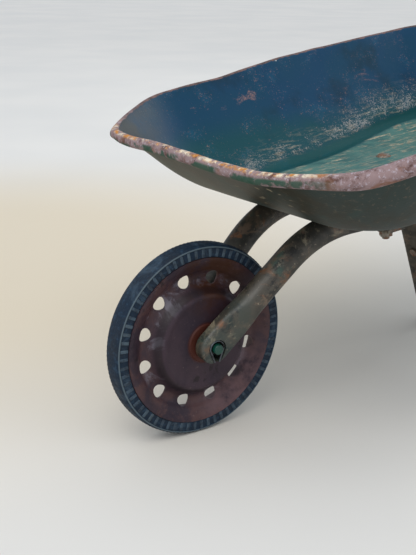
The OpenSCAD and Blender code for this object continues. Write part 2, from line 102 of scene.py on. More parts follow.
def tint(name, default, description):
    return bpy.props.FloatVectorProperty(
        name=name, default=default, size=4, min=0, max=1, subtype="COLOR", description=description)


class BarrowTubeSettings(bpy.types.PropertyGroup):
    """The two bent frame tubes"""
    diameter: size("Diameter", 21.3, "Outside diameter of a tube")
    wall: size("Wall", 1.6, "Thickness of the tube's wall")
    splay: angle("Splay", 7.4, "Angle at which a tube leaves the middle plane")
    fork_slope: angle("Fork slope", 43, "Slope from the axle up to the first bend")
    fork_length: size("Fork length", 87.6, "Length from the axle to the first bend")
    bed_slope: angle("Bed slope", 5, "Slope of the long stretch under the tray")
    bed_length: size("Bed length", 372, "Length of the stretch under the tray")
    riser_slope: angle("Riser slope", 27, "Slope of the stretch behind the tray")
    riser_length: size("Riser length", 62, "Length of the stretch behind the tray")
    seat_length: size("Grip seat", 104, "Length of the level end that the grip goes on")
    flat_height: size("Flat height", 25, "Height of the squashed end")
    flat_thickness: size("Flat thickness", 13.3, "Thickness of the squashed end")
    flat_place: size("Flat place", 21.85, "From the middle plane to the middle of the squashed end")


class BarrowTraySettings(bpy.types.PropertyGroup):
    """The pressed tray with its rolled rim"""
    length: size("Length", 486, "Length over the rim")
    lip_height: size("Lip height", 60, "Height of the top of the front lip above the floor")
    sheet: size("Sheet", 1.3, "Thickness of the sheet")
    roll_radius: size("Roll radius", 4.6, "Radius of the rolled rim")
    ridge_depth: size("Ridge depth", 1.6, "How far the pressed ridge stands out")
    rim_wobble: size("Rim wobble", 0.5, "How uneven years of knocks have left the rim")


class BarrowWheelSettings(bpy.types.PropertyGroup):
    """The disc wheel and its rubber tyre"""
    holes: number("Holes", 12, "Number of round holes in the disc")
    hole_radius: size("Hole radius", 5.3, "Radius of each hole")
    hole_ring: size("Hole ring", 49.8, "Radius of the ring that the holes lie on")
    hole_phase: angle("Hole phase", 14.9, "Turn of the ring of holes")
    sheet: size("Sheet", 1.2, "Thickness of the disc")
    ribs: number("Ribs", 68, "Number of ribs on each side of the tyre")
    rib_inner: size("Rib start", 66.6, "Radius at which the ribs start")
    rib_outer: size("Rib end", 73.3, "Radius at which the ribs end")
    rib_width: size("Rib width", 2.6, "Width of a rib")
    tread_blocks: number("Tread blocks", 132, "Number of blocks in each row of the tread")


class BarrowGripSettings(bpy.types.PropertyGroup):
    """The rubber grips"""
    length: size("Length", 114, "Length of a grip")
    rings: number("Rings", 11, "Number of raised rings round a grip")


class BarrowFinishSettings(bpy.types.PropertyGroup):
    """The main colours of the finishes"""
    enamel_blue: tint("Enamel, blue", colour(3, 58, 88), "Tray enamel on the upper walls")
    enamel_green: tint("Enamel, green", colour(2, 64, 72), "Tray enamel low down and on the floor")
    chip: tint("Chips", colour(168, 128, 110), "Fine chips in the tray enamel")
    underside: tint("Underside", colour(44, 56, 52), "Weathered underside of the tray")
    rim: tint("Rim rust", colour(142, 120, 120), "Purple-brown rust of the rolled rim")
    frame_paint: tint("Frame paint", colour(72, 66, 56), "Weathered paint of the tubes")
    orange_rust: tint("Orange rust", colour(122, 76, 42), "Fresh rust")
    disc: tint("Disc rust", colour(56, 42, 50), "Purple-brown rust of the wheel disc")
    tyre: tint("Tyre", colour(12, 32, 50), "Aged rubber of the tyre")
    backdrop: tint("Backdrop", colour(216, 213, 208), "Pale floor and backdrop")


class BarrowViewSettings(bpy.types.PropertyGroup):
    """The camera"""
    azimuth: angle("Azimuth", 35.8, "Direction of view, from +Y towards +X")
    pitch: angle("Pitch", 17.7, "How far the view looks down")
    roll: angle("Roll", 0.7, "How far the camera leans")
    depth: size("Depth", 773.4, "Distance from the camera to the wheel, along the view")
    wheel_left: bpy.props.FloatProperty(
        name="Wheel left", default=0.0119,
        description="Wheel's centre left of the view's middle, per unit of depth")
    wheel_below: bpy.props.FloatProperty(
        name="Wheel below", default=0.0603,
        description="Wheel's centre below the view's middle, per unit of depth")
    focal_widths: bpy.props.FloatProperty(
        name="Focal length", default=2.4038, description="Focal length, in widths of the picture")


def settings(group):
    return getattr(bpy.context.scene, group)


# ================= Mesh work =================
def mesh_object(name, points, faces):
    """A new object from points in millimetres."""
    mesh = bpy.data.meshes.new(name)
    mesh.from_pydata([Vector(point) * MM for point in points], [], faces)
    obj = bpy.data.objects.new(name, mesh)
    bpy.context.scene.collection.objects.link(obj)
    return obj


def clean(obj, gap=0.01):
    """Merges doubled points, drops flat faces and points every face outwards."""
    work = bmesh.new()
    work.from_mesh(obj.data)
    bmesh.ops.remove_doubles(work, verts=work.verts, dist=gap * MM)
    bmesh.ops.dissolve_degenerate(work, edges=work.edges, dist=gap * MM / 10)
    bmesh.ops.recalc_face_normals(work, faces=work.faces)
    work.to_mesh(obj.data)
    work.free()


def shade(obj, degrees=35):
    """Smooth shading, with edges sharper than this angle kept crisp."""
    obj.data.shade_smooth()
    obj.data.set_sharp_from_angle(angle=math.radians(degrees))


def settle(obj):
    """What the modifiers make becomes the object's own mesh."""
    graph = bpy.context.evaluated_depsgraph_get()
    made = bpy.data.meshes.new_from_object(
        obj.evaluated_get(graph), preserve_all_data_layers=True, depsgraph=graph)
    obj.modifiers.clear()
    old = obj.data
    obj.data = made
    bpy.data.meshes.remove(old)


def hand_over(obj, body, slot, material, *nodes):
    """Gives a finished piece its material, its body and the CAD nodes that it stands for; slot is not used."""
    if material.name not in [m.name for m in obj.data.materials if m]:
        obj.data.materials.clear()
        obj.data.materials.append(material)
    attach(obj, body)
    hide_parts(*nodes)


def loft(rings, closed_ends=True, wrap=False):
    """Points and faces through rings of equal numbers of points. wrap joins the last ring to the first."""
    count = len(rings[0])
    points = [point for ring in rings for point in ring]
    faces = []
    for k in range(len(rings) if wrap else len(rings) - 1):
        here, there = k * count, (k + 1) % len(rings) * count
        for i in range(count):
            j = (i + 1) % count
            faces.append((here + i, here + j, there + j, there + i))
    if closed_ends and not wrap:
        faces.append(tuple(range(count))[::-1])
        faces.append(tuple(range(len(points) - count, len(points))))
    return points, faces


def turned(name, profile, segments, wrap=True):
    """A profile of (radius, y) turned about the axle."""
    rings = []
    for radius, y in profile:
        rings.append([AXLE + Vector((radius * math.cos(turn), y, radius * math.sin(turn)))
                      for turn in (2 * math.pi * i / segments for i in range(segments))])
    obj = mesh_object(name, *loft(rings, wrap=wrap))
    clean(obj)
    return obj


def rounded(profile, passes=2):
    """A softened open line: each corner is cut back, and the two ends stay."""
    for _ in range(passes):
        cut = [profile[0]]
        for a, b in zip(profile, profile[1:]):
            cut.append(tuple(0.75 * p + 0.25 * q for p, q in zip(a, b)))
            cut.append(tuple(0.25 * p + 0.75 * q for p, q in zip(a, b)))
        cut.append(profile[-1])
        profile = cut
    return profile


def smooth_step(share):
    share = min(1, max(0, share))
    return share * share * (3 - 2 * share)


def mix(a, b, share):
    return a + (b - a) * share


def refined(node, name, bevel, levels=2, angle_limit=30):
    """A merged copy of a CAD node with softly broken edges."""
    obj = bpy.data.objects.new(name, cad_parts[node].data.copy())
    bpy.context.scene.collection.objects.link(obj)
    obj.data.materials.clear()
    work = bmesh.new()
    work.from_mesh(obj.data)
    bmesh.ops.remove_doubles(work, verts=work.verts, dist=0.002 * MM)
    bmesh.ops.dissolve_limit(
        work, angle_limit=math.radians(0.5), verts=work.verts, edges=work.edges)
    work.to_mesh(obj.data)
    work.free()
    if bevel:
        edge = obj.modifiers.new("Broken edges", "BEVEL")
        edge.width = bevel * MM
        edge.segments = levels
        edge.limit_method = "ANGLE"
        edge.angle_limit = math.radians(angle_limit)
        edge.use_clamp_overlap = True
        settle(obj)
    shade(obj, 40)
    return obj


# ================= Materials =================
class Finish:
    """A procedural material while it is being put together. Patterns read the piece's own coordinates, in metres."""

    def __init__(self, name, roughness, metallic=0.0, specular=0.5):
        self.material = bpy.data.materials.new(name)
        self.material.use_nodes = True
        self.tree = self.material.node_tree
        self.shader = self.tree.nodes["Principled BSDF"]
        self.shader.inputs["Roughness"].default_value = roughness
        self.shader.inputs["Metallic"].default_value = metallic
        self.shader.inputs["Specular IOR Level"].default_value = specular
        self.coordinates = self.tree.nodes.new("ShaderNodeTexCoord").outputs["Object"]

    def put(self, value, socket):
        """A link from another node, or a plain value."""
        if isinstance(value, bpy.types.NodeSocket):
            self.tree.links.new(value, socket)
        else:
            socket.default_value = value

    def noise(self, scale, detail=5, roughness=0.6, distortion=0.0, vector=None):
        node = self.tree.nodes.new("ShaderNodeTexNoise")
        self.put(vector or self.coordinates, node.inputs["Vector"])
        node.inputs["Scale"].default_value = scale
        node.inputs["Detail"].default_value = detail
        node.inputs["Roughness"].default_value = roughness
        node.inputs["Distortion"].default_value = distortion
        return node.outputs["Fac"]

    def cells(self, scale, vector=None):
        node = self.tree.nodes.new("ShaderNodeTexVoronoi")
        self.put(vector or self.coordinates, node.inputs["Vector"])
        node.inputs["Scale"].default_value = scale
        return node.outputs["Distance"]

    def moved(self, stretch=(1, 1, 1), turn=(0, 0, 0), place=(0, 0, 0)):
        """The piece's coordinates, stretched, turned and moved."""
        node = self.tree.nodes.new("ShaderNodeMapping")
        self.put(self.coordinates, node.inputs["Vector"])
        node.inputs["Location"].default_value = place
        node.inputs["Rotation"].default_value = turn
        node.inputs["Scale"].default_value = stretch
        return node.outputs["Vector"]

    def attribute(self, name):
        node = self.tree.nodes.new("ShaderNodeAttribute")
        node.attribute_name = name
        return node.outputs["Fac"]

    def span(self, value, low, high, to_low=0.0, to_high=1.0):
        """value from low to high becomes 0 to 1, softly, and stays there past the ends."""
        node = self.tree.nodes.new("ShaderNodeMapRange")
        node.interpolation_type = "SMOOTHSTEP"
        self.put(value, node.inputs["Value"])
        node.inputs["From Min"].default_value = low
        node.inputs["From Max"].default_value = high
        node.inputs["To Min"].default_value = to_low
        node.inputs["To Max"].default_value = to_high
        return node.outputs["Result"]

    def sum(self, operation, a, b=0.0):
        node = self.tree.nodes.new("ShaderNodeMath")
        node.operation = operation
        node.use_clamp = operation != "SUBTRACT"
        self.put(a, node.inputs[0])
        self.put(b, node.inputs[1])
        return node.outputs[0]

    def times(self, *values):
        result = values[0]
        for value in values[1:]:
            result = self.sum("MULTIPLY", result, value)
        return result

    def either(self, *values):
        result = values[0]
        for value in values[1:]:
            result = self.sum("MAXIMUM", result, value)
        return result

    def reach(self, centre, axes=(1, 0, 1)):
        """Distance from a place, counted along the axes that are 1."""
        node = self.tree.nodes.new("ShaderNodeVectorMath")
        node.operation = "LENGTH"
        place = tuple(-c * MM * a for c, a in zip(centre, axes))
        self.put(self.moved(stretch=axes, place=place), node.inputs[0])
        return node.outputs["Value"]

    def blend(self, share, under, over):
        node = self.tree.nodes.new("ShaderNodeMix")
        node.data_type = "RGBA"
        self.put(share, node.inputs[0])
        self.put(tuple(under) if not isinstance(under, bpy.types.NodeSocket) else under, node.inputs[6])
        self.put(tuple(over) if not isinstance(over, bpy.types.NodeSocket) else over, node.inputs[7])
        return node.outputs[2]

    def finish(self, base, roughness=None, relief=(), metallic=None):
        """relief is a row of (height, depth in millimetres), laid over each other."""
        self.put(base, self.shader.inputs["Base Color"])
        if roughness is not None:
            self.put(roughness, self.shader.inputs["Roughness"])
        if metallic is not None:
            self.put(metallic, self.shader.inputs["Metallic"])
        normal = None
        for height, depth in relief:
            node = self.tree.nodes.new("ShaderNodeBump")
            node.inputs["Distance"].default_value = depth * MM
            node.inputs["Strength"].default_value = 1.0
            self.put(height, node.inputs["Height"])
            if normal is not None:
                self.put(normal, node.inputs["Normal"])
            normal = node.outputs["Normal"]
        if normal is not None:
            self.put(normal, self.shader.inputs["Normal"])
        return self.material


def once(make):
    """A material is made at its first use and shared after that."""
    made = {}

    def get():
        if "material" not in made:
            made["material"] = make()
        return made["material"]
    return get


@once
def tray_enamel():
    """Deep teal enamel, chipped to fine rust, with a rusted rolled rim, bare steel with painted highlights along the
    front lip, and a weathered underside.
    """
    tones = settings("barrow_finish")
    f = Finish("tray_enamel", 0.42, specular=0.2)
    up, roll, inside, lip, band = (f.attribute(name) for name in ("up", "roll", "inside", "lip", "band"))
    broad = f.noise(9, 3)
    clumps = f.noise(34, 5, 0.65, 0.4)
    grains = f.noise(900, 3, 0.6)
    coarse = f.noise(400, 4, 0.7)

    # Enamel: blue high up, green low down, with soft clouds
    height = f.sum("ADD", f.span(up, 0.12, 0.48), f.span(broad, 0.42, 0.62, -0.18, 0.18))
    enamel = f.blend(height, tones.enamel_green, tones.enamel_blue)
    enamel = f.blend(f.times(f.span(clumps, 0.52, 0.75), 0.45), enamel, colour(14, 86, 114))
    enamel = f.blend(f.times(f.span(f.noise(22, 4), 0.5, 0.7), 0.6), enamel, colour(2, 38, 52))
    floor = f.span(band, 0.12, -0.15)
    enamel = f.blend(f.times(floor, f.span(clumps, 0.3, 0.6, 0.5, 0.95)), enamel, colour(78, 118, 110))

    # The hollow round the worn patch has kept its paint
    hollow = f.times(f.span(band, -0.05, 0.15), f.span(band, 1.0, 0.75), f.span(up, 0.3, 0.2))
    enamel = f.blend(f.times(hollow, 0.7), enamel, colour(0, 66, 64))

    # Fine chips, in clumps, thickest on the ridge
    ridge = f.times(f.span(band, 0.75, 1.1), f.span(band, 2.3, 1.35), f.span(clumps, 0.3, 0.56, 0.55, 1.0))
    limit = f.sum("SUBTRACT", 0.645, f.span(clumps, 0.36, 0.62, 0.0, 0.085))
    limit = f.sum("SUBTRACT", limit, f.times(ridge, 0.085))
    limit = f.sum("ADD", limit, f.times(hollow, 0.06))
    texture = f.sum("ADD", f.times(grains, 0.6), f.times(coarse, 0.4))
    chips = f.times(f.sum("SUBTRACT", texture, limit), 16.0)
    chip_tone = f.blend(f.span(f.noise(70, 2), 0.35, 0.65), tones.chip, colour(120, 90, 84))
    chip_tone = f.blend(f.times(ridge, 0.75), chip_tone, colour(176, 176, 172))
    paint = f.blend(f.times(chips, 0.62), enamel, chip_tone)

    # Scratches that run along the floor
    streaks = f.noise(1, 5, 0.65, 0.3, f.moved(stretch=(60, 420, 120)))
    streak_patch = f.span(f.noise(14, 3), 0.36, 0.62, 0.4, 1.0)
    streak = f.times(f.span(streaks, 0.52, 0.62), f.either(floor, f.times(ridge, 0.4)), streak_patch)
    streak_tone = f.blend(f.span(coarse, 0.4, 0.6), colour(168, 134, 106), colour(196, 184, 158))
    paint = f.blend(f.times(streak, 0.85), paint, streak_tone)

    # Larger worn patches and a few white specks
    scuffs = f.times(f.span(f.noise(24, 6, 0.7, 0.9), 0.63, 0.7), f.span(grains, 0.36, 0.6))
    paint = f.blend(f.times(scuffs, 0.75), paint, colour(156, 118, 108))
    specks = f.times(f.span(f.cells(78), 0.11, 0.06), f.span(f.noise(28, 2), 0.6, 0.68),
                     f.span(up, 0.2, 0.4))
    paint = f.blend(specks, paint, colour(214, 218, 214))

    # Dirt in the far end of the lip
    corner = f.reach(CORNER_DIRT, (1, 1, 1))
    paint = f.blend(f.times(f.span(corner, 0.085, 0.03), f.span(f.noise(26, 5), 0.3, 0.62, 0.2, 0.9)), paint,
                    colour(66, 66, 60))

    # Underside
    under = f.blend(f.span(f.noise(17, 5, 0.6, 0.5), 0.4, 0.66), tones.underside, colour(50, 48, 38))
    under = f.blend(f.times(f.span(f.noise(26, 4), 0.56, 0.72), 0.6), under, colour(34, 66, 60))
    under = f.blend(f.times(f.span(f.noise(240, 5, 0.7), 0.56, 0.7), 0.5), under, colour(104, 92, 74))
    marks = f.times(f.span(f.noise(1, 3, 0.5, 0.6, f.moved(stretch=(70, 60, 330), turn=(0.4, 0.5, 0.2))),
                           0.62, 0.68), f.span(f.noise(9, 2), 0.46, 0.56))
    under = f.blend(f.times(marks, 0.7), under, colour(186, 170, 140))
    paint = f.blend(inside, under, paint)

    # Rolled rim
    rust = f.blend(f.span(f.noise(110, 6, 0.7), 0.44, 0.66), tones.rim, colour(88, 62, 58))
    rust = f.blend(f.times(f.span(f.noise(420, 4, 0.7), 0.54, 0.66), 0.6), rust, colour(182, 174, 184))
    rust = f.blend(f.times(f.span(f.noise(38, 5, 0.7, 0.6), 0.54, 0.66), f.span(roll, 0.3, 0.55), 0.6), rust,
                   tones.orange_rust)
    far = f.span(f.reach(FAR_SIDE, (0, 1, 0)), 0.11, 0.06)
    rust = f.blend(f.times(far, 0.85), rust,
                   f.blend(f.span(f.noise(90, 5, 0.7), 0.4, 0.6), colour(62, 50, 46), colour(116, 88, 80)))
    green_left = f.times(lip, f.span(roll, 0.42, 0.52), f.span(f.noise(34, 5, 0.6, 0.5), 0.44, 0.52))
    rust = f.blend(f.times(green_left, 0.9), rust, colour(30, 74, 58))
    # Bare worn steel along the top of the front lip's roll, lightened as a painted highlight
    bare_steel_and_painted_glints = f.times(lip, f.span(roll, 0.02, 0.1), f.span(roll, 0.42, 0.3),
                     f.span(f.noise(150, 5, 0.75, 0.4), 0.44, 0.58))
    rust = f.blend(bare_steel_and_painted_glints, rust,
                   f.blend(f.span(f.noise(120, 2), 0.4, 0.6), colour(206, 140, 66), colour(240, 226, 200)))
    edge = f.span(f.sum("ADD", roll, f.span(f.noise(130, 5, 0.7), 0.3, 0.7, -0.05, 0.05)), 0.055, 0.1)
    base = f.blend(edge, paint, rust)

    worn = f.either(f.times(chips, inside), f.times(streak, inside), edge)
    roughness = f.span(worn, 0, 1, 0.46, 0.68)
    relief = [(f.noise(60, 3), 0.25), (worn, -0.07), (f.noise(520, 3, 0.6), 0.06)]
    return f.finish(base, roughness, relief, f.times(bare_steel_and_painted_glints, 0.6))


@once
def rim_rust():
    f = Finish("rim_rust", 0.7)
    tones = settings("barrow_finish")
    base = f.blend(f.span(f.noise(180, 6, 0.7), 0.4, 0.62), tones.rim, colour(70, 50, 44))
    return f.finish(base, relief=[(f.noise(400, 4), 0.12)])


@once
def frame_paint():
    """Grey-green paint worn to brown steel, with orange rust and old teal."""
    tones = settings("barrow_finish")
    f = Finish("frame_paint", 0.5)
    patches = f.noise(30, 6, 0.62, 0.5)
    base = f.blend(f.span(patches, 0.38, 0.6), colour(44, 42, 36), tones.frame_paint)
    base = f.blend(f.times(f.span(f.noise(52, 5, 0.7, 0.4), 0.52, 0.64), 0.85), base, colour(108, 88, 70))
    base = f.blend(f.times(f.span(f.noise(24, 6, 0.7, 0.8), 0.56, 0.66), 0.9), base, tones.orange_rust)
    base = f.blend(f.times(f.span(f.noise(26, 5, 0.65), 0.6, 0.68), 0.6), base, colour(42, 78, 68))
    base = f.blend(f.times(f.span(f.noise(44, 6, 0.75, 0.3), 0.52, 0.62), 0.9), base, colour(22, 21, 18))
    base = f.blend(f.times(f.span(f.noise(38, 6, 0.7, 0.5), 0.57, 0.66), 0.65), base, colour(140, 130, 108))
    flecks = f.span(f.noise(320, 4, 0.7), 0.62, 0.7)
    base = f.blend(f.times(flecks, 0.6), base, colour(168, 154, 130))
    end = f.span(f.reach(AXLE, (1, 0, 1)), 0.06, 0.028)
    teal = f.times(end, f.span(f.noise(46, 5, 0.6, 0.4), 0.4, 0.56))
    base = f.blend(f.times(teal, 0.45), base, colour(36, 58, 54))
    roughness = f.span(patches, 0.35, 0.65, 0.62, 0.4)
    return f.finish(base, roughness, [(patches, 0.3), (f.noise(300, 5, 0.7), 0.14)])


@once
def disc_rust():
    """Purple-brown rust, orange near the top, scuffed pale where it stands out; painted shade darkens the crease
    round the raised middle and the dark red rust round the hub.
    """
    tones = settings("barrow_finish")
    f = Finish("disc_rust", 0.55, specular=0.25)
    clouds = f.noise(26, 6, 0.6, 0.3)
    base = f.blend(f.span(clouds, 0.38, 0.64), tones.disc, colour(42, 32, 42))
    radius = f.reach(AXLE, (1, 0, 1))
    outer = f.span(radius, 0.041, 0.05)
    base = f.blend(f.times(outer, f.span(f.noise(40, 5, 0.7, 0.4), 0.4, 0.6), 0.6), base, colour(88, 60, 56))
    top = f.span(f.reach(DISC_TOP, (1, 0, 1)), 0.045, 0.012)
    base = f.blend(f.times(top, f.span(f.noise(50, 6, 0.7), 0.34, 0.56), 0.9), base, colour(58, 30, 12))
    base = f.blend(f.times(f.span(f.noise(44, 6, 0.75, 0.5), 0.57, 0.67), 0.8), base, colour(28, 20, 22))
    scuff = f.times(f.span(radius, 0.036, 0.042), f.span(radius, 0.056, 0.05),
                    f.span(f.noise(36, 6, 0.75, 0.6), 0.5, 0.62))
    base = f.blend(f.times(scuff, 0.6), base, colour(118, 114, 124))
    base = f.blend(f.times(f.span(f.noise(340, 5, 0.75), 0.6, 0.7), 0.35), base, colour(124, 104, 98))
    low = f.span(f.reach(DISC_LOW, (1, 0, 1)), 0.05, 0.015)
    base = f.blend(f.times(low, outer, f.span(f.noise(60, 5, 0.7), 0.3, 0.6), 0.7), base,
                   colour(104, 78, 80))
    # Painted shade: a dark ring in the crease round the raised middle
    painted_crease_shade = f.times(f.span(radius, 0.0375, 0.0395), f.span(radius, 0.044, 0.0415))
    base = f.blend(f.times(painted_crease_shade, 0.6), base, colour(24, 16, 20))
    # Dark red rust round the hub, darkened as painted shade cast by the arm's end
    middle = f.span(radius, 0.0175, 0.0145)
    base = f.blend(f.times(middle, 0.85), base, colour(72, 30, 14))
    roughness = f.span(clouds, 0.35, 0.7, 0.4, 0.62)
    return f.finish(base, roughness, [(clouds, 0.3), (f.noise(300, 5, 0.7), 0.1)])


@once
def tyre_rubber():
    """Blue-black rubber with pale dusty scuffs."""
    tones = settings("barrow_finish")
    f = Finish("tyre_rubber", 0.7, specular=0.3)
    dust = f.noise(70, 6, 0.75, 0.3)
    base = f.blend(f.span(dust, 0.36, 0.62), colour(14, 28, 42), tones.tyre)
    base = f.blend(f.times(f.span(f.noise(240, 5, 0.75), 0.5, 0.66), 0.4), base, colour(46, 74, 98))
    base = f.blend(f.times(f.span(f.noise(34, 5, 0.7, 0.6), 0.54, 0.68), 0.3), base, colour(78, 98, 114))
    radius = f.reach(AXLE, (1, 0, 1))
    ring = f.span(radius, 0.0667, 0.0662)
    base = f.blend(f.times(ring, 0.8), base, colour(10, 16, 24))
    line = f.times(f.span(radius, 0.0735, 0.0739), f.span(radius, 0.0749, 0.0745))
    base = f.blend(f.times(line, 0.6), base, colour(98, 112, 118))
    return f.finish(base, f.span(dust, 0.3, 0.7, 0.6, 0.76), [(f.noise(420, 4, 0.7), 0.12)])


@once
def rib_rubber():
    """The tops of the ribs, where dust has stayed."""
    f = Finish("rib_rubber", 0.72)
    base = f.blend(f.span(f.noise(130, 6, 0.75), 0.36, 0.62), colour(15, 29, 43), colour(52, 70, 84))
    base = f.blend(f.times(f.span(f.noise(46, 4), 0.5, 0.66), 0.3), base, colour(86, 100, 106))
    return f.finish(base, relief=[(f.noise(500, 4, 0.7), 0.08)])


@once
def grip_rubber():
    f = Finish("grip_rubber", 0.74)
    base = f.blend(f.span(f.noise(70, 6, 0.7), 0.4, 0.66), colour(30, 33, 35), colour(58, 60, 58))
    base = f.blend(f.times(f.span(f.noise(260, 4, 0.7), 0.6, 0.7), 0.5), base, colour(112, 108, 98))
    return f.finish(base, relief=[(f.noise(380, 4), 0.12)])


@once
def axle_green():
    f = Finish("axle_green", 0.38)
    wear = f.noise(260, 5, 0.7)
    base = f.blend(f.span(wear, 0.5, 0.7), colour(8, 62, 50), colour(24, 38, 34))
    return f.finish(base, f.span(wear, 0.4, 0.7, 0.3, 0.6), [(wear, 0.1)])


@once
def spring_wire():
    f = Finish("spring_wire", 0.3, 1.0)
    base = f.blend(f.span(f.noise(500, 4), 0.5, 0.7), colour(84, 88, 92), colour(40, 37, 35))
    return f.finish(base)


@once
def black_steel():
    f = Finish("black_steel", 0.45)
    base = f.blend(f.span(f.noise(300, 5), 0.5, 0.7), colour(22, 24, 25), colour(60, 48, 40))
    return f.finish(base, relief=[(f.noise(500, 3), 0.06)])


@once
def fastener_steel():
    """Dull zinc going to rust."""
    f = Finish("fastener_steel", 0.5, 0.6)
    rust = f.noise(210, 6, 0.7)
    base = f.blend(f.span(rust, 0.42, 0.6), colour(128, 122, 112), colour(112, 74, 48))
    return f.finish(base, f.span(rust, 0.4, 0.6, 0.42, 0.75), [(rust, 0.12)],
                    f.span(rust, 0.42, 0.58, 0.85, 0.1))


@once
def bronze():
    f = Finish("bronze", 0.4, 0.9)
    base = f.blend(f.span(f.noise(200, 4), 0.4, 0.7), colour(164, 124, 72), colour(96, 74, 48))
    return f.finish(base)


@once
def plain_backdrop():
    """Pale cloth-like floor, without any marks; behind the barrow it is darker and warmer, as painted shade."""
    f = Finish("plain_backdrop", 0.95)
    base = f.blend(f.span(f.noise(2.4, 2), 0.3, 0.7), settings("barrow_finish").backdrop,
                   colour(222, 218, 212))
    # Painted shade: a warmer, darker patch of floor behind the barrow
    painted_warm_shade = f.span(f.reach(PAINTED_SHADE_PLACE, (1, 1, 0)), 0.72, 0.2)
    base = f.blend(f.times(painted_warm_shade, 0.9), base, colour(212, 198, 174))
    return f.finish(base)


# ================= The line of a frame tube, in its own upright plane =================
FORK_BEND_R, RISER_BEND_R = 95, 90


def after(place, step):
    """The (x, z, slope) that a step of ("line", length) or ("bend", radius, angle) leads to."""
    x, z, slope = place
    if step[0] == "line":
        return x + step[1] * math.cos(slope), z + step[1] * math.sin(slope), slope
    radius, turn = step[1:]
    side = math.copysign(1, turn)
    return (x + side * radius * (math.sin(slope + turn) - math.sin(slope)),
            z + side * radius * (math.cos(slope) - math.cos(slope + turn)), slope + turn)


def tube_steps(tube):
    return [
        ("line", tube.fork_length),
        ("bend", FORK_BEND_R, tube.bed_slope - tube.fork_slope),
        ("line", tube.bed_length),
        ("bend", RISER_BEND_R, tube.riser_slope - tube.bed_slope),
        ("line", tube.riser_length),
        ("bend", RISER_BEND_R, -tube.riser_slope),
        ("line", tube.seat_length),
    ]


def axle_place(tube):
    return 0.0, AXLE.z, tube.fork_slope


def bed_start(tube):
    place = axle_place(tube)
    for step in tube_steps(tube)[:2]:
        place = after(place, step)
    return place


def tube_trail(tube, start, steps, parts):
    """Places along the steps, each shared into equal parts."""
    places = [start]
    for step in steps:
        share = (step[0], step[1] / parts) if step[0] == "line" else (step[0], step[1], step[2] / parts)
        for _ in range(parts):
            places.append(after(places[-1], share))
    return places


def in_tube_plane(tube, side, along, across, up):
    """A place in one tube's upright plane, as a place in the frame."""
    turn = side * tube.splay
    return AXLE * Vector((1, 0, 0)) + Vector((
        along * math.cos(turn) - across * math.sin(turn),
        side * tube.flat_place + along * math.sin(turn) + across * math.cos(turn), up))


FLAT_SQUARENESS = 4
FLAT_LENGTH = 17
FADE_LENGTH = 30
NOSE_SHARES = (-0.995, -0.97, -0.92, -0.84, -0.72, -0.56, -0.38, -0.19, 0)
TUBE_SIDES = 48


def tube_stations(tube, wall):
    """Rows of (place, half height, half thickness, squareness) from the nose to the open end."""
    nose = tube.flat_height / 2 - wall
    flat = tube.flat_thickness / 2
    radius = tube.diameter / 2

    def on_fork(distance):
        return after(axle_place(tube), ("line", distance))
    rows = [(on_fork(share * nose), nose * math.sqrt(1 - share * share), flat - wall, FLAT_SQUARENESS)
            for share in NOSE_SHARES]
    rows += [(on_fork(k * FLAT_LENGTH / 4), nose, flat - wall, FLAT_SQUARENESS) for k in (1, 2, 3)]
    for k in range(11):
        share = smooth_step(k / 10)
        rows.append((on_fork(FLAT_LENGTH + k * FADE_LENGTH / 10),
                     mix(tube.flat_height / 2, radius, share) - wall,
                     mix(flat, radius, share) - wall, mix(FLAT_SQUARENESS, 2, share)))
    for place in tube_trail(tube, after(axle_place(tube), ("line", tube.fork_length)), tube_steps(tube)[1:],
                            14):
        rows.append((place, radius - wall, radius - wall, 2))
    return rows


def tube_ring(tube, side, row):
    (along, up, slope), half_up, half_across, squareness = row

    def squared(value):
        return math.copysign(abs(value) ** (2 / squareness), value)
    ring = []
    for k in range(TUBE_SIDES):
        turn = 2 * math.pi * (k + 0.5) / TUBE_SIDES
        rise = half_up * squared(math.sin(turn))
        ring.append(in_tube_plane(tube, side, along - rise * math.sin(slope),
                                  half_across * squared(math.cos(turn)), up + rise * math.cos(slope)))
    return ring


PEAR_R, PEAR_DROP, PEAR_FOOT_R = 7.2, 10.8, 3
BORE_R = 4.08


def cutter(name, circles, near_y, far_y):
    """The hull of circles of (radius, drop below the axle) between two distances from the middle plane."""
    work = bmesh.new()
    for radius, drop in circles:
        for k in range(40):
            turn = 2 * math.pi * k / 40
            for y in (near_y, far_y):
                work.verts.new((AXLE + Vector((radius * math.cos(turn), y,
                                               radius * math.sin(turn) - drop))) * MM)
    bmesh.ops.convex_hull(work, input=work.verts)
    mesh = bpy.data.meshes.new(name)
    work.to_mesh(mesh)
    work.free()
    obj = bpy.data.objects.new(name, mesh)
    bpy.context.scene.collection.objects.link(obj)
    return obj


def cut_away(obj, tools):
    for tool in tools:
        cut = obj.modifiers.new("Cut", "BOOLEAN")
        cut.operation = "DIFFERENCE"
        cut.solver = "EXACT"
        cut.object = tool
    settle(obj)
    for tool in tools:
        bpy.data.objects.remove(tool)


class BARROW_OT_tubes(bpy.types.Operator):
    """Make the two bent frame tubes, with their squashed ends and pear-shaped openings"""
    bl_idname = "barrow.make_tubes"
    bl_label = "Frame tubes"

    def execute(self, context):
        tube = settings("barrow_tube")
        for word, side in SIDES.items():
            outer = [tube_ring(tube, side, row) for row in tube_stations(tube, 0)]
            inner = [tube_ring(tube, side, row) for row in tube_stations(tube, tube.wall)]
            obj = mesh_object(f"{word}_tube", *loft(outer + inner[::-1]))
            clean(obj)
            middle, out = side * tube.flat_place, side * (tube.flat_place + tube.flat_thickness)
            bore = cutter("bore", [(BORE_R, 0)], side * 5, middle)
            pear = cutter("pear", [(PEAR_R, 0), (PEAR_FOOT_R, PEAR_DROP)], middle, out)
            cut_away(obj, [bore, pear])
            shade(obj, 40)
            hand_over(obj, "frame", "frame_paint", frame_paint(), f"{word}_frame_tube")
        return {"FINISHED"}


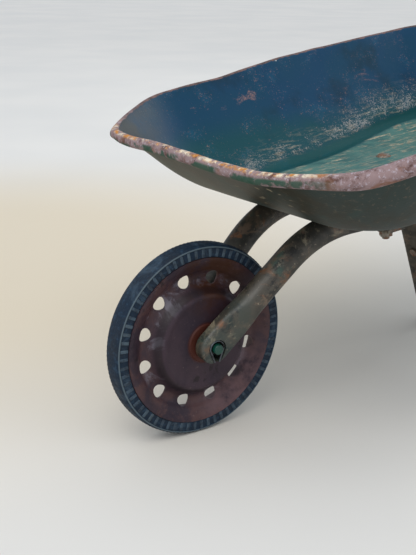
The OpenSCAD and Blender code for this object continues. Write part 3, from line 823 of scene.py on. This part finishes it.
# ================= Tray =================
# The tray's own frame: x from the axle, level with the bed, z from the underside of the floor.
LIP_X = -9
FLOOR_FRONT_X, FLOOR_REAR_X, FLOOR_HALF_W = 66, 432, 114
FLOOR_CORNER_FRONT, FLOOR_CORNER_REAR = 46, 50
RIM_CORNER_FRONT, RIM_CORNER_REAR = 102, 80
COVE = 22
FULLNESS, FRONT_FULLNESS = 0.3, 0.2  # how far the wall bellies out
CURL_REACH, CURL_HEIGHT = 1.82, 0.42  # size of the roll beyond the top of the wall, in roll radii
LIP_RISE, LIP_RISE_OVER, RIM_RISE = 13, 90, 0.047
CURL_TURN = math.radians(255)
OUTLINE_PARTS = (14, 30, 40, 24, 14)
FLOOR_RINGS, WALL_RINGS, ROLL_RINGS = 12, 40, 20


def from_tray(tube, x, y, z):
    """A place in the tray's own frame, as a place in the frame of the barrow."""
    start_x, start_z, _ = bed_start(tube)
    start_x *= math.cos(tube.splay)
    tilt = math.atan(math.tan(tube.bed_slope) / math.cos(tube.splay))
    along, up = x - start_x, z + tube.diameter / 2
    return Vector((AXLE.x + start_x + along * math.cos(tilt) - up * math.sin(tilt), y,
                   start_z + along * math.sin(tilt) + up * math.cos(tilt)))


def half_outline(front, rear, half_w, front_corner, rear_corner):
    """From the front middle to the rear middle, along the right side."""
    first, arc_1, side, arc_2, last = OUTLINE_PARTS
    points = [(front, (half_w - front_corner) * i / first) for i in range(first)]
    for i in range(arc_1):
        turn = math.pi / 2 * i / arc_1
        points.append((front + front_corner * (1 - math.cos(turn)),
                       half_w - front_corner * (1 - math.sin(turn))))
    straight = rear - rear_corner - front - front_corner
    points += [(front + front_corner + straight * i / side, half_w) for i in range(side)]
    for i in range(arc_2):
        turn = math.pi / 2 * (1 - i / arc_2)
        points.append((rear - rear_corner * (1 - math.cos(turn)),
                       half_w - rear_corner * (1 - math.sin(turn))))
    points += [(rear, (half_w - rear_corner) * (1 - i / last)) for i in range(last + 1)]
    return points


def outline(*sizes):
    half = half_outline(*sizes)
    return half + [(x, -y) for x, y in half[-2:0:-1]]


def bell(value, middle, width):
    return math.exp(-((value - middle) / width) ** 2)


class Dent:
    """A knock in the rim: where it is, how far it reaches along the rim, and which way it pushed the metal."""

    def __init__(self, x, y, reach, push, roll_only=True):
        self.place, self.reach, self.push, self.roll_only = Vector((x, y)), reach, Vector(push), roll_only

    def at(self, x, y, height_share):
        gap = (Vector((x, y)) - self.place).length / self.reach
        depth = math.exp(-gap * gap) * smooth_step(height_share if self.roll_only else height_share * 2)
        return self.push * depth


DENTS = [
    Dent(20, -158, 30, (1.5, 2.0, -3.2), roll_only=False),
    Dent(34, 172, 60, (5, -6.5, -4.5), roll_only=False),
    Dent(-4, 124, 26, (-4, 3, -3)),
    Dent(130, 184, 70, (0, -3, -5)),
    Dent(64, -184, 26, (0, 1.2, 1.6)),
    Dent(112, -184, 20, (0, -1.5, -2.6)),
    Dent(150, -184, 12, (0, 1.6, 3.0)),
    Dent(-8, -60, 34, (1.2, 0, -1.4)),
    Dent(-8, 40, 30, (-0.8, 0, 1.0)),
    Dent(-4, 112, 10, (0.6, 0, 1.8)),
    Dent(250, -184, 40, (0, 2.5, -1.6)),
    Dent(476, 60, 40, (-1.8, 0, -1.8)),
]
# Middle of the painted warm shade on the floor
PAINTED_SHADE_PLACE = AXLE + Vector((60, 520, 0))
CORNER_DIRT = AXLE + Vector((0, 150, 150))
FAR_SIDE = Vector((0, 230, 0))
DISC_TOP = AXLE + Vector((12, 0, 54))
DISC_LOW = AXLE + Vector((34, 0, -44))


def tray_columns(tray):
    reach = CURL_REACH * tray.roll_radius + tray.sheet / 2
    rim = outline(LIP_X + reach, LIP_X + tray.length - reach, TRAY_W / 2 - reach, RIM_CORNER_FRONT,
                  RIM_CORNER_REAR)
    floor = outline(FLOOR_FRONT_X, FLOOR_REAR_X, FLOOR_HALF_W, FLOOR_CORNER_FRONT, FLOOR_CORNER_REAR)
    return list(zip(floor, rim))


def wall_height(tray, x):
    along = x - LIP_X
    climb = LIP_RISE * math.sin(math.pi / 2 * min(1, along / LIP_RISE_OVER))
    return tray.lip_height + climb + RIM_RISE * along - (CURL_HEIGHT * tray.roll_radius + tray.sheet)


def roll_radius(tray, x, y):
    """The roll is tight along the front lip and stands open on the left side, where it has been knocked most."""
    opened = smooth_step((x + 6) / 50)
    return tray.roll_radius * (0.86 + opened * (0.42 if y < 0 else -0.2))


def fullness(x):
    return mix(FULLNESS, FRONT_FULLNESS, smooth_step((60 - x) / 60))


def wall_top(reach, height, full):
    return math.atan2(height, reach * (1 - full))


def wall_section(tray, reach, height, radius, full):
    """The middle of the sheet from the floor out to the end of the roll: (outward, up, heading, roll share)."""
    rows = []
    belly = full * reach
    for i in range(WALL_RINGS + 1):
        t = i / WALL_RINGS
        out = reach * t * t + 2 * belly * t * (1 - t) - COVE * (1 - t) ** 2
        heading = math.atan2(height * t, reach * t + belly * (1 - 2 * t) + COVE * (1 - t))
        rows.append((out, height * t * t, heading, 0.0))
    top = wall_top(reach, height, full)
    for i in range(1, ROLL_RINGS + 1):
        turn = top - CURL_TURN * i / ROLL_RINGS
        rows.append((reach + radius * (math.sin(top) - math.sin(turn)),
                     height + radius * (math.cos(turn) - math.cos(top)), turn, i / ROLL_RINGS))
    return rows


# The load has worn a boat-shaped patch of the floor. Round it lies an unworn hollow, and outside that a worn ridge.
PATCH_X, PATCH_FRONT, PATCH_HALF_W, PATCH_WIDENS = 158, 63, 84, 34
RIDGE_X, RIDGE_FRONT, RIDGE_HALF_W, RIDGE_WIDENS = 178, 90, 112, 17
WIDENS_OVER, PATCH_REAR = 200, 60


def share_of_shape(x, y, middle, front, half_w, widens):
    """Under 1 inside a boat shape, 1 on its edge and more outside."""
    width = half_w + widens * smooth_step((x - middle) / WIDENS_OVER)
    ahead = max(0.0, (middle - x) / front)
    behind = max(0.0, (x - FLOOR_REAR_X + PATCH_REAR) / PATCH_REAR)
    return math.sqrt(ahead * ahead + behind * behind + (y / width) ** 2)


def band_at(x, y):
    """Under 0 on the worn floor, 0 to 1 across the hollow, about 1 on the ridge and more on the wall."""
    patch = share_of_shape(x, y, PATCH_X, PATCH_FRONT, PATCH_HALF_W, PATCH_WIDENS)
    ridge = share_of_shape(x, y, RIDGE_X, RIDGE_FRONT, RIDGE_HALF_W, RIDGE_WIDENS)
    if patch <= 1:
        return (patch - 1) * 4
    if ridge >= 1:
        return 1 + (ridge - 1) * 6
    return (patch - 1) / (patch - ridge)


def pressed(tray, band):
    """How far the ridge stands in and the hollow lies back."""
    return tray.ridge_depth * (bell(band, 1.2, 0.3) - 0.8 * bell(band, 0.5, 0.35))


def knocked(tray, x, y, z, up, height):
    """A place on the sheet after years of use."""
    share = min(1.0, max(0.0, up / height)) ** 2
    moved = Vector((x, y, z))
    for dent in DENTS:
        moved += dent.at(x, y, share)
    wave = noise.noise_vector(Vector((x, y, 0)) / 26) * tray.rim_wobble
    swell = noise.noise_vector(Vector((x, y, z)) / 60) * 0.9
    return moved + wave * share + swell * smooth_step(up / 20)


class BARROW_OT_tray(bpy.types.Operator):
    """Make the tray, pressed from one sheet, with its rolled and knocked rim"""
    bl_idname = "barrow.make_tray"
    bl_label = "Tray"

    def execute(self, context):
        tray, tube = settings("barrow_tray"), settings("barrow_tube")
        columns = tray_columns(tray)
        spine = (FLOOR_FRONT_X + FLOOR_HALF_W, FLOOR_REAR_X - FLOOR_HALF_W)
        faces_of_sheet = {1: [], -1: []}
        marks = {1: [], -1: []}
        for face in (1, -1):
            rings = [[] for _ in range(FLOOR_RINGS + WALL_RINGS + 1 + ROLL_RINGS)]
            notes = [[] for _ in rings]
            for floor, rim in columns:
                floor_point = Vector(floor)
                outward = Vector(rim) - floor_point
                reach = outward.length
                outward.normalize()
                height = wall_height(tray, rim[0])
                rows = wall_section(tray, reach, height, roll_radius(tray, *rim), fullness(rim[0]))
                foot = floor_point + outward * rows[0][0]
                centre = Vector((min(max(floor[0], spine[0]), spine[1]), 0))
                lip = smooth_step((26 - rim[0]) / 22)
                for k in range(FLOOR_RINGS):
                    place = centre.lerp(foot, k / FLOOR_RINGS)
                    band = band_at(place.x, place.y)
                    rise = tray.sheet / 2 * (1 + face) + pressed(tray, band)
                    rings[k].append((place.x, place.y, rise, 0.0, height))
                    notes[k].append((0.0, 0.0, lip, band))
                for k, (out, up, heading, roll) in enumerate(rows):
                    band = band_at(*(floor_point + outward * out))
                    off = face * tray.sheet / 2 + (pressed(tray, band) if k <= WALL_RINGS else 0)
                    place = floor_point + outward * (out - off * math.sin(heading))
                    rise = up + off * math.cos(heading) + tray.sheet / 2
                    rings[FLOOR_RINGS + k].append((place.x, place.y, rise, up, height))
                    notes[FLOOR_RINGS + k].append((up / 100, roll, lip, band))
            faces_of_sheet[face] = [[from_tray(tube,
                                               *knocked(tray, *point)) for point in ring] for ring in rings]
            marks[face] = notes
        rings = faces_of_sheet[1] + faces_of_sheet[-1][::-1]
        notes = [(note, 1.0) for ring in marks[1] for note in ring]
        notes += [(note, 0.0) for ring in marks[-1][::-1] for note in ring]
        obj = mesh_object("tray", *loft(rings, closed_ends=False))
        for k, name in enumerate(("up", "roll", "lip", "band")):
            layer = obj.data.attributes.new(name, "FLOAT", "POINT")
            layer.data.foreach_set("value", [note[k] for note, _ in notes])
        layer = obj.data.attributes.new("inside", "FLOAT", "POINT")
        layer.data.foreach_set("value", [inside for _, inside in notes])
        clean(obj, 0.05)
        shade(obj, 50)
        hand_over(obj, "frame", "tray_paint", tray_enamel(), "tray_pan")
        return {"FINISHED"}


WIRE_R = 3.2
WIRE_SIDES = 12


class BARROW_OT_rim_wire(bpy.types.Operator):
    """Make the steel wire that the tray's rim is rolled round"""
    bl_idname = "barrow.make_rim_wire"
    bl_label = "Rim wire"

    def execute(self, context):
        tray, tube = settings("barrow_tray"), settings("barrow_tube")
        rings = []
        for floor, rim in tray_columns(tray):
            floor_point = Vector(floor)
            outward = Vector(rim) - floor_point
            reach = outward.length
            outward.normalize()
            height = wall_height(tray, rim[0])
            top = wall_top(reach, height, fullness(rim[0]))
            radius = roll_radius(tray, *rim)
            ring = []
            for k in range(WIRE_SIDES):
                turn = 2 * math.pi * k / WIRE_SIDES
                across = reach + radius * math.sin(top) + WIRE_R * math.cos(turn)
                up = height - radius * math.cos(top) + WIRE_R * math.sin(turn)
                place = floor_point + outward * across
                ring.append(from_tray(tube,
                                      *knocked(tray, place.x, place.y, up + tray.sheet / 2, height, height)))
            rings.append(ring)
        obj = mesh_object("rim_core_wire", *loft(rings, wrap=True))
        clean(obj)
        shade(obj)
        hand_over(obj, "frame", "rim_rust", rim_rust(), "rim_wire")
        return {"FINISHED"}


# ================= Things repeated round the axle =================
def ring_tree(name, subtract):
    """A node tree that sets a shape many times round the axle, and joins it on or cuts it out."""
    tree = bpy.data.node_groups.new(name, "GeometryNodeTree")
    face = tree.interface
    face.new_socket("Geometry", in_out="INPUT", socket_type="NodeSocketGeometry")
    face.new_socket("Shape", in_out="INPUT", socket_type="NodeSocketObject")
    face.new_socket("Count", in_out="INPUT", socket_type="NodeSocketInt")
    face.new_socket("Start angle", in_out="INPUT", socket_type="NodeSocketFloat")
    face.new_socket("Centre", in_out="INPUT", socket_type="NodeSocketVector")
    face.new_socket("Material", in_out="INPUT", socket_type="NodeSocketMaterial")
    face.new_socket("Geometry", in_out="OUTPUT", socket_type="NodeSocketGeometry")
    add, link = tree.nodes.new, tree.links.new
    given, out = add("NodeGroupInput"), add("NodeGroupOutput")
    points = add("GeometryNodePoints")
    link(given.outputs["Count"], points.inputs["Count"])
    link(given.outputs["Centre"], points.inputs["Position"])

    index, share, turn, offset = add("GeometryNodeInputIndex"), add("ShaderNodeMath"), add("ShaderNodeMath"), add("ShaderNodeMath")
    share.operation, turn.operation, offset.operation = "DIVIDE", "MULTIPLY", "ADD"
    link(index.outputs[0], share.inputs[0])
    link(given.outputs["Count"], share.inputs[1])
    link(share.outputs[0], turn.inputs[0])
    turn.inputs[1].default_value = 2 * math.pi
    link(turn.outputs[0], offset.inputs[0])
    link(given.outputs["Start angle"], offset.inputs[1])
    about = add("ShaderNodeCombineXYZ")
    link(offset.outputs[0], about.inputs["Y"])

    shape = add("GeometryNodeObjectInfo")
    link(given.outputs["Shape"], shape.inputs["Object"])
    copies = add("GeometryNodeInstanceOnPoints")
    link(points.outputs[0], copies.inputs["Points"])
    link(shape.outputs["Geometry"], copies.inputs["Instance"])
    link(about.outputs[0], copies.inputs["Rotation"])
    real = add("GeometryNodeRealizeInstances")
    paint = add("GeometryNodeSetMaterial")
    link(given.outputs["Material"], paint.inputs["Material"])
    if subtract:
        cut = add("GeometryNodeMeshBoolean")
        cut.operation = "DIFFERENCE"
        link(given.outputs["Geometry"], cut.inputs["Mesh 1"])
        link(copies.outputs[0], cut.inputs["Mesh 2"])
        link(cut.outputs["Mesh"], real.inputs[0])
        link(real.outputs[0], paint.inputs["Geometry"])
        link(paint.outputs[0], out.inputs[0])
    else:
        join = add("GeometryNodeJoinGeometry")
        link(copies.outputs[0], real.inputs[0])
        link(real.outputs[0], paint.inputs["Geometry"])
        link(given.outputs["Geometry"], join.inputs[0])
        link(paint.outputs[0], join.inputs[0])
        link(join.outputs[0], out.inputs[0])
    return tree


def repeat_round(obj, tree, shape, count, start, material):
    """Runs a ring tree on an object, and keeps what it makes."""
    step = obj.modifiers.new("Round the axle", "NODES")
    step.node_group = tree
    values = {"Shape": shape, "Count": count, "Start angle": start, "Centre": AXLE * MM,
              "Material": material}
    for item in tree.interface.items_tree:
        if item.in_out == "INPUT" and item.name in values:
            step[item.identifier] = values[item.name]
    settle(obj)


DISC_FACE = [
    (66.0, 8.95), (63.2, 8.5), (60, 6.9), (57.6, 5.4), (56, 4.6), (53.5, 1.9), (49.8, 1), (46.5, 1.7),
    (43.5, 4.7),
    (40.2, 9.6), (38, 11.8), (35.5, 12.4), (33, 11.8), (24, 11.6), (18, 12.3),
]
BOSS = [(15.4, 12.5), (14.6, 13.7), (12.5, 13.9), (4.3, 13.9)]


def thickened(line, sheet):
    """A closed profile round an open line of (radius, distance), sheet thick towards the middle plane."""
    back = []
    for k, (radius, out) in enumerate(line):
        a, b = line[max(k - 1, 0)], line[min(k + 1, len(line) - 1)]
        along = Vector((b[0] - a[0], b[1] - a[1])).normalized()
        back.append((radius + along.y * sheet * -1, out + along.x * sheet))
    return line + back[::-1]


class BARROW_OT_disc(bpy.types.Operator):
    """Make the pressed wheel disc, with its ring of holes"""
    bl_idname = "barrow.make_disc"
    bl_label = "Wheel disc"

    def execute(self, context):
        wheel = settings("barrow_wheel")
        line = rounded(DISC_FACE, 1) + BOSS
        profile = thickened(line, wheel.sheet)
        obj = turned("wheel_disc_pressing", [(radius, -out) for radius, out in profile], 160)
        punch = bmesh.new()
        bmesh.ops.create_cone(punch, cap_ends=True, segments=28, radius1=wheel.hole_radius * MM,
                              radius2=wheel.hole_radius * MM, depth=2 * TYRE_R * MM,
                              matrix=Matrix.Translation((wheel.hole_ring * MM, 0,
                                                         0)) @ Matrix.Rotation(math.pi / 2, 4, "X"))
        mesh = bpy.data.meshes.new("punch")
        punch.to_mesh(mesh)
        punch.free()
        punch = bpy.data.objects.new("punch", mesh)
        bpy.context.scene.collection.objects.link(punch)
        repeat_round(obj, ring_tree("Holes round the axle", True), punch, wheel.holes, -wheel.hole_phase,
                     disc_rust())
        bpy.data.objects.remove(punch)
        clean(obj, 0.002)
        shade(obj, 40)
        hand_over(obj, "wheel", "wheel_rust", disc_rust(), "wheel_disc")
        return {"FINISHED"}


# Half of the tyre's section, as (radius, distance from the middle plane), from the bead out to the crown
TYRE_HALF = [
    (57.6, 1.5), (57.8, 3.2), (60, 4.4), (63, 6.3), (64.9, 7.3), (66.1, 8.0), (66.5, 8.3), (69.5, 8.4),
    (73.3, 8.1),
    (73.6, 8.6), (74.1, 8.75), (74.6, 8.4), (75.2, 7.5), (75.7, 6.3), (76.0, 4.6), (76.15, 2.8), (76.2, 1.0),
]


def block(name, low, high, bevel):
    """A small rounded block between two corners, measured from the axle."""
    work = bmesh.new()
    bmesh.ops.create_cube(work, size=1)
    middle, spread = (Vector(low) + Vector(high)) / 2, Vector(high) - Vector(low)
    for vert in work.verts:
        vert.co = Vector(v * s for v, s in zip(vert.co, spread)) + middle
    bmesh.ops.bevel(work, geom=work.edges, offset=bevel, segments=1, affect="EDGES")
    bmesh.ops.scale(work, vec=(MM, MM, MM), verts=work.verts)
    mesh = bpy.data.meshes.new(name)
    work.to_mesh(mesh)
    work.free()
    obj = bpy.data.objects.new(name, mesh)
    bpy.context.scene.collection.objects.link(obj)
    return obj


class BARROW_OT_tyre(bpy.types.Operator):
    """Make the rubber tyre, with the ribs on its sides and the blocks of its tread"""
    bl_idname = "barrow.make_tyre"
    bl_label = "Tyre"

    def execute(self, context):
        wheel = settings("barrow_wheel")
        half = TYRE_HALF
        profile = half + [(radius, -y) for radius, y in half[::-1]]
        obj = turned("tyre_ring", profile, 192)
        obj.data.materials.append(tyre_rubber())
        tree = ring_tree("Ribs round the axle", False)
        half_w = wheel.rib_width / 2
        for side in (LEFT, RIGHT):
            near, far = sorted((side * 7.6, side * 8.85))
            rib = block("rib", (wheel.rib_inner, near, -half_w), (wheel.rib_outer, far, half_w), 0.4)
            repeat_round(obj, tree, rib, wheel.ribs, 0.0, rib_rubber())
            bpy.data.objects.remove(rib)
            for row, (radius, y,
                      start) in enumerate(((75.1, 6.2, 0.0), (75.6, 3.7, 0.5), (75.75, 1.2, 0.0))):
                lump = block("lump", (radius - 0.8, side * y - 0.95, -1.1),
                             (radius + 0.55, side * y + 0.95, 1.1), 0.3)
                repeat_round(obj, tree, lump, wheel.tread_blocks, start * 2 * math.pi / wheel.tread_blocks,
                             tyre_rubber())
                bpy.data.objects.remove(lump)
        shade(obj, 40)
        hand_over(obj, "wheel", "tyre_rubber", tyre_rubber(), "tyre")
        return {"FINISHED"}


class BARROW_OT_grips(bpy.types.Operator):
    """Make the rubber grips, with their raised rings"""
    bl_idname = "barrow.make_grips"
    bl_label = "Grips"

    def execute(self, context):
        grip, tube = settings("barrow_grip"), settings("barrow_tube")
        place = axle_place(tube)
        for step in tube_steps(tube)[:-1]:
            place = after(place, step)
        start = place[0]
        bore = tube.diameter / 2 + 0.05
        neck, body = GRIP_R - 2, GRIP_R - 1.2
        profile = [(0, bore), (0, neck - 0.8), (0.8, neck), (6, neck), (7.4, body)]
        ring_start, ring_end = 12, grip.length - 30
        pitch = (ring_end - ring_start) / grip.rings
        for k in range(grip.rings):
            foot = ring_start + k * pitch
            profile += [(foot, body), (foot + pitch * 0.22, GRIP_R - 0.25), (foot + pitch * 0.5, GRIP_R),
                        (foot + pitch * 0.78, GRIP_R - 0.25)]
        profile += [(ring_end, body), (ring_end + 4, body), (ring_end + 5.5, GRIP_R),
                    (grip.length - 4, GRIP_R)]
        profile += [(grip.length - 4 + 4 * math.sin(t), GRIP_R - 4 + 4 * math.cos(t)) for t in (0.4, 0.8,
                                                                                                1.2, 1.57)]
        profile += [(grip.length, 3.0)]
        last = tube.seat_length + 0.3
        profile += [(grip.length - 0.6, 2.4), (last + 2, 2.4), (last, bore)]
        for word, side in SIDES.items():
            rings = []
            for along, radius in profile:
                rings.append([in_tube_plane(tube, side, start + along, radius * math.cos(turn),
                                            GRIP_Z + radius * math.sin(turn))
                              for turn in (2 * math.pi * i / 56 for i in range(56))])
            obj = mesh_object(f"{word}_rubber_grip", *loft(rings, wrap=True))
            clean(obj)
            shade(obj, 38)
            hand_over(obj, "frame", "grip_rubber", grip_rubber(), f"{word}_grip")
        return {"FINISHED"}


# Each row is (node, slot, width of the broken edge)
STRAP_PARTS = [
    ("front_cross_strap", "frame_paint", 0.7), ("left_leg", "frame_paint", 0.7),
    ("right_leg", "frame_paint", 0.7),
    ("leg_brace", "frame_paint", 0.7),
]
FASTENERS = [
    ("tray_bolts", "fastener_steel", 0.25), ("tray_bolt_washers", "fastener_steel", 0.2),
    ("tray_nuts", "fastener_steel", 0.4), ("leg_bolts", "fastener_steel", 0.25),
    ("leg_nuts", "fastener_steel", 0.4),
    ("brace_rivets", "fastener_steel", 0.2),
]
AXLE_PARTS = [
    ("axle_rod", "axle_green", 0.5), ("left_axle_clip", "spring_wire", 0),
    ("right_axle_clip", "spring_wire", 0),
    ("left_axle_retainer", "black_steel", 0.3), ("right_axle_retainer", "black_steel", 0.3),
    ("left_axle_washer", "black_steel", 0.2), ("right_axle_washer", "black_steel", 0.2),
]
HUB_PARTS = [
    ("hub_back_plate", "wheel_rust", 0.25), ("tyre_clamp_ring", "wheel_rust", 0.25),
    ("hub_tube", "wheel_rust", 0.3),
    ("left_hub_bush", "bush_bronze", 0.2), ("right_hub_bush", "bush_bronze", 0.2),
]
SLOT_MATERIALS = {
    "frame_paint": frame_paint, "fastener_steel": fastener_steel, "axle_green": axle_green,
    "wheel_rust": disc_rust,
    "spring_wire": spring_wire, "black_steel": black_steel, "bush_bronze": bronze,
}


def finish_parts(parts, body):
    for node, slot, bevel in parts:
        obj = refined(node, f"finished_{node}", bevel)
        hand_over(obj, body, slot, SLOT_MATERIALS[slot](), node)


class BARROW_OT_straps(bpy.types.Operator):
    """Finish the cross strap, the legs and the brace, which are bent from flat bar"""
    bl_idname = "barrow.finish_straps"
    bl_label = "Legs and straps"

    def execute(self, context):
        finish_parts(STRAP_PARTS, "frame")
        return {"FINISHED"}


class BARROW_OT_fasteners(bpy.types.Operator):
    """Finish the bolts, washers, nuts and rivets"""
    bl_idname = "barrow.finish_fasteners"
    bl_label = "Fasteners"

    def execute(self, context):
        finish_parts(FASTENERS, "frame")
        return {"FINISHED"}


class BARROW_OT_axle(bpy.types.Operator):
    """Finish the axle with its clips, retainers and washers"""
    bl_idname = "barrow.finish_axle"
    bl_label = "Axle"

    def execute(self, context):
        finish_parts(AXLE_PARTS, "frame")
        return {"FINISHED"}


class BARROW_OT_hub(bpy.types.Operator):
    """Finish the hub, its bushes, the back plate and the ring that clamps the tyre"""
    bl_idname = "barrow.finish_hub"
    bl_label = "Hub"

    def execute(self, context):
        finish_parts(HUB_PARTS, "wheel")
        return {"FINISHED"}


# ================= Stage =================
def soft_light(name, place, aim, width, watts, tone):
    lamp = bpy.data.lights.new(name, "AREA")
    lamp.shape = "SQUARE"
    lamp.size = width
    lamp.energy = watts
    lamp.color = tone
    obj = bpy.data.objects.new(name, lamp)
    obj.location = place
    obj.rotation_euler = (Vector(aim) - Vector(place)).to_track_quat("-Z", "Y").to_euler()
    bpy.context.scene.collection.objects.link(obj)


def camera_axes(view):
    """Right, up and forward directions of the camera."""
    a, p, r = view.azimuth, view.pitch, view.roll
    forward = Vector((math.sin(a) * math.cos(p), math.cos(a) * math.cos(p), -math.sin(p)))
    level = Vector((math.cos(a), -math.sin(a), 0))
    over = level.cross(forward)
    right = level * math.cos(r) + over * math.sin(r)
    up = over * math.cos(r) - level * math.sin(r)
    return right, up, forward


class BARROW_OT_stage(bpy.types.Operator):
    """Make the pale floor, the soft lights and the camera"""
    bl_idname = "barrow.make_stage"
    bl_label = "Stage"

    def execute(self, context):
        view, scene = settings("barrow_view"), context.scene
        floor = mesh_object("floor",
                            [(-9000, -9000, 0), (9000, -9000, 0), (9000, 9000, 0), (-9000, 9000, 0)],
                            [(0, 1, 2, 3)])
        floor.data.materials.append(plain_backdrop())

        sun = bpy.data.lights.new("daylight", "SUN")
        sun.energy = 0.85
        sun.angle = math.radians(60)
        sun.color = (1.0, 0.985, 0.95)
        daylight = bpy.data.objects.new("daylight", sun)
        daylight.rotation_euler = Vector((0.45, 0.35, -1)).to_track_quat("-Z", "Y").to_euler()
        scene.collection.objects.link(daylight)
        soft_light("window", (-1.5, -0.9, 1.9), (-0.1, 0, 0.12), 1.2, 13, (1.0, 0.99, 0.96))
        soft_light("fill", (1.1, -2.0, 1.2), (0, 0, 0.15), 1.8, 5, (0.93, 0.97, 1.0))
        soft_light("side", (2.3, 0.3, 1.2), (0.1, 0, 0), 1.4, 16, (0.88, 0.95, 1.0))
        world = bpy.data.worlds.new("pale_room")
        world.use_nodes = True
        sky = world.node_tree.nodes["Background"]
        sky.inputs["Color"].default_value = colour(222, 230, 240)
        sky.inputs["Strength"].default_value = 0.9
        scene.world = world
        scene.view_settings.view_transform = "Standard"
        scene.view_settings.look = "None"

        right, up, forward = camera_axes(view)
        ahead = forward - right * view.wheel_left - up * view.wheel_below
        camera = bpy.data.cameras.new("camera")
        camera.sensor_fit = "HORIZONTAL"
        camera.sensor_width = 36
        camera.lens = camera.sensor_width * view.focal_widths
        camera.clip_start = 0.01
        obj = bpy.data.objects.new("camera", camera)
        turn = Matrix((right, up, -forward)).transposed().to_4x4()
        obj.matrix_world = Matrix.Translation((AXLE - ahead * view.depth) * MM) @ turn
        scene.collection.objects.link(obj)
        scene.camera = obj
        return {"FINISHED"}


STEPS = (
    BARROW_OT_stage, BARROW_OT_tray, BARROW_OT_rim_wire, BARROW_OT_tubes, BARROW_OT_straps, BARROW_OT_grips,
    BARROW_OT_disc, BARROW_OT_tyre, BARROW_OT_hub, BARROW_OT_axle, BARROW_OT_fasteners,
)


class BARROW_PT_panel(bpy.types.Panel):
    """The barrow's making, step by step"""
    bl_idname = "BARROW_PT_panel"
    bl_label = "Barrow"
    bl_space_type = "VIEW_3D"
    bl_region_type = "UI"
    bl_category = "Barrow"

    def draw(self, context):
        for step in STEPS:
            self.layout.operator(step.bl_idname)
        for group in GROUPS:
            box = self.layout.box()
            box.label(text=group.removeprefix("barrow_").capitalize())
            values = getattr(context.scene, group)
            for name in values.__annotations__:
                box.prop(values, name)


GROUPS = {
    "barrow_tube": BarrowTubeSettings,
    "barrow_tray": BarrowTraySettings,
    "barrow_wheel": BarrowWheelSettings,
    "barrow_grip": BarrowGripSettings,
    "barrow_finish": BarrowFinishSettings,
    "barrow_view": BarrowViewSettings,
}


def register():
    for name, group in GROUPS.items():
        bpy.utils.register_class(group)
        setattr(bpy.types.Scene, name, bpy.props.PointerProperty(type=group))
    for item in (*STEPS, BARROW_PT_panel):
        bpy.utils.register_class(item)


def unregister():
    for item in (BARROW_PT_panel, *reversed(STEPS)):
        bpy.utils.unregister_class(item)
    for name, group in reversed(GROUPS.items()):
        delattr(bpy.types.Scene, name)
        bpy.utils.unregister_class(group)


def main():
    register()
    for step in STEPS:
        group, name = step.bl_idname.split(".")
        getattr(getattr(bpy.ops, group), name)()


if __name__ == "__main__":
    main()
